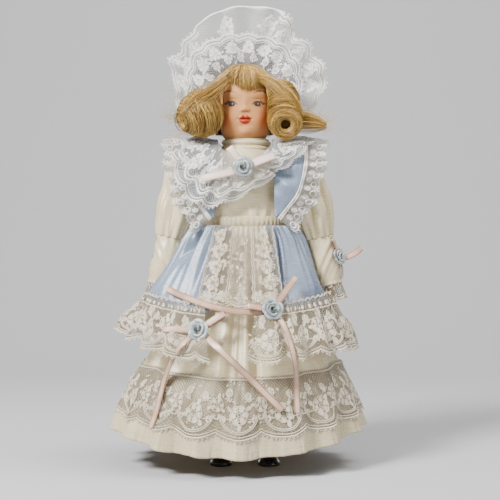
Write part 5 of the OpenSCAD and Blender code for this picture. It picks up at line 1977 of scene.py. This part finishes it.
# Rows of (x, y, height, half width, half depth): a left forearm, in the arm's frame, and a left lower leg.
FOREARM_ROWS = [
    (0, 0, -32.1, 3.3, 3.3), (0, 0, -34.2, 3.1, 3.1), (0, 0, -37, 3.2, 3.2), (0, 0, -42, 3.6, 3.6),
    (0, 0, -49, 3.2, 3.2), (0, 0, -56, 2.6, 2.6), (0, 0, -60, 2.05, 2.3), (0, 0, -62.2, 1.75, 2.4),
    (-0.1, 0, -64, 1.6, 2.75), (-0.2, 0, -66, 1.35, 2.7), (-0.25, 0, -67.3, 0.9, 2.2)]
LEG_ROWS = [
    (0, 0, 52.9, 3.9, 3.9), (0, 0, 50.5, 3.75, 3.75), (0, 0, 47, 3.9, 3.9), (0, 0.3, 40, 4.4, 4.5),
    (0, 0.4, 34, 4.5, 4.7), (0, 0.2, 26, 4.0, 4.2), (0.3, 0, 18, 3.1, 3.3), (0.7, 0, 12, 2.75, 2.9),
    (1.1, 0.0, 9, 2.8, 3.1), (1.3, -0.6, 7, 2.7, 3.6), (1.3, -1.5, 5.4, 2.5, 4.4)]


def forearm(side, name):
    def place(x, y, z):
        return on_arm(side, x, y, z)
    bundle = Bundle()
    bundle.add(*ring_loft(FOREARM_ROWS, place))
    for k, (y, long) in enumerate(((-1.95, 3.9), (-0.65, 4.7), (0.65, 4.4), (1.85, 3.3))):
        t = np.linspace(0, 1, 9)
        curl = -0.25 - 1.0 * t ** 2 * (1 + 0.15 * k)
        path = np.stack([curl, y + 0.25 * t * (k - 1.5) * 0.6, -66.2 - long * t * 1.06], -1)
        path = np.stack(place(*path.T), -1)
        bundle.tube(path, np.interp(t, [0, 0.5, 0.9, 1], [0.74, 0.66, 0.52, 0.3]), 10)
    t = np.linspace(0, 1, 8)
    thumb = np.stack([-0.3 - 0.9 * t, -2.1 - 1.2 * np.sin(t * 1.6), -62.9 - 4.2 * t], -1)
    bundle.tube(np.stack(place(*thumb.T), -1), np.interp(t, [0, 0.6, 1], [0.95, 0.72, 0.35]), 10)
    piece = bundle.piece(name + "_forearm_porcelain", LIMB_BISQUE)
    melt(piece, 0.24)
    attach(piece, name + "_arm", "bisque", name + "_forearm")


def lower_leg(side, name):
    def place(x, y, z):
        return side * (HIP[0] + x), HIP[1] + y, z
    bundle = Bundle()
    bundle.add(*ring_loft(LEG_ROWS, place))
    piece = bundle.piece(name + "_leg_porcelain", LIMB_BISQUE)
    melt(piece, 0.35, 3)
    attach(piece, name + "_leg", "bisque", name + "_lower_leg")


def patent_material():
    t = Tree("black_patent")
    place = t.place()
    soft = t.noise(260, 3, place)
    scuff = t.noise(900, 4, place, 0.6)
    t.bump(t.add(soft, t.mul(scuff, 0.3)), 0.05, 0.5)
    colour = t.mix(t.ramp(scuff, 0.62, 0.8, 0, 0.5), (0.006, 0.006, 0.008), (0.05, 0.05, 0.055))
    return t.set(Base_Color=colour, Roughness=t.ramp(scuff, 0.45, 0.8, 0.07, 0.3), Coat_Weight=0.6,
                 Coat_Roughness=0.06, Specular_IOR_Level=0.6)


PATENT = patent_material()


def shoe(side, name):
    middle, toe, heel = side * 10.6, -13.25, 9.25

    def outline(y, shrink=0.0):
        """Half width of the sole at y."""
        front = np.sqrt(np.clip(1 - ((y - toe - 4.8) / (4.8 - shrink)) ** 2, 0, 1)) * (4.8 - shrink)
        back = np.sqrt(np.clip(1 - ((y - heel + 4.2) / (4.2 - shrink)) ** 2, 0, 1)) * (4.1 - shrink)
        waist = 4.8 - 0.9 * smooth_step(y, toe + 4.8, heel - 7.5)
        waist = waist + 0.25 * smooth_step(y, heel - 7.5, heel - 4.2) - shrink
        return np.where(y < toe + 4.8, front, np.where(y > heel - 4.2, back, waist))
    bundle = Bundle()
    half = np.linspace(0, math.pi, 40)
    span = heel - toe
    y = (toe + heel) / 2 - span / 2 * np.cos(half)
    wide = outline(y)
    wide[[0, -1]] = 0.05
    rim = np.concatenate([np.stack([middle + wide, y], -1), np.stack([middle - wide[::-1], y[::-1]], -1)])
    count = len(rim)
    centre = np.array([middle, (toe + heel) / 2])
    layers = [(0.0, 0.97), (0.0, 1.0), (1.3, 1.0), (1.5, 0.97)]
    rings = [np.column_stack([centre + (rim - centre) * k, np.full(count, z)]) for z, k in layers]
    bundle.add(np.concatenate(rings), tube_faces(4, count))
    ys = (toe + heel) / 2 - (span - 1.2) / 2 * np.cos(np.linspace(0, math.pi, 46))
    wide = outline(ys, 0.6)
    stations = [toe + 0.6, toe + 2.5, toe + 7, toe + 10.5, toe + 13, heel - 3, heel - 0.6]
    tall = np.interp(ys, stations, [1.6, 3.6, 5.0, 6.2, 7.2, 7.4, 7.3])
    across = np.linspace(0, math.pi, 25)
    rings = [np.stack([middle + w * np.cos(across) * (1 - 0.12 * np.sin(across)), np.full(25, yy),
                       1.4 + (h - 1.4) * np.sin(across) ** 0.7], -1)
             for yy, w, h in zip(ys, np.maximum(wide, 0.05), tall)]
    verts = np.concatenate(rings)
    faces = grid_faces(len(ys), 25, False).tolist()
    faces += [[k * 25, (k + 1) * 25, (k + 2) * 25 - 1, (k + 1) * 25 - 1] for k in range(len(ys) - 1)]
    bundle.add(verts, faces)
    a = np.linspace(0, TAU, 49)[:-1]
    slope = 0.22 * (4.6 - 4.6 * np.sin(a)) * 0.5
    top = np.stack([middle + 3.45 * np.cos(a), 1.2 + 4.6 * np.sin(a), 7.2 - slope], -1)
    bundle.tube(top, 0.45, 8, closed=True)
    a = np.linspace(0, math.pi, 30)
    strap = np.stack([middle + 3.9 * np.cos(a), -3.4 + 0 * a, 2.6 + 4.6 * np.sin(a) ** 0.8], -1)
    bundle.tube(strap, 0.62, 8)
    piece = bundle.piece(name + "_patent_shoe", PATENT)
    attach(piece, name + "_leg", "shoe_gloss", name + "_shoe")


def snap_steel():
    t = Tree("snap_steel")
    place = t.place()
    ring = t.noise(2400, 2, place)
    tarnish = t.noise(500, 3, place)
    t.bump(ring, 0.03, 0.5)
    steel = t.mix(t.ramp(tarnish, 0.45, 0.7), (0.62, 0.61, 0.58), (0.36, 0.34, 0.30))
    metal = t.set(Base_Color=steel, Metallic=1.0,
                  Roughness=t.ramp(tarnish, 0.3, 0.7, 0.22, 0.45))
    for o in bpy.data.objects:
        if o.type == "MESH" and o.name.startswith("back_snaps"):
            for place in o.material_slots:
                place.material = metal


cloth_body()
for side, name in ((1, "left"), (-1, "right")):
    forearm(side, name)
    lower_leg(side, name)
    shoe(side, name)
snap_steel()
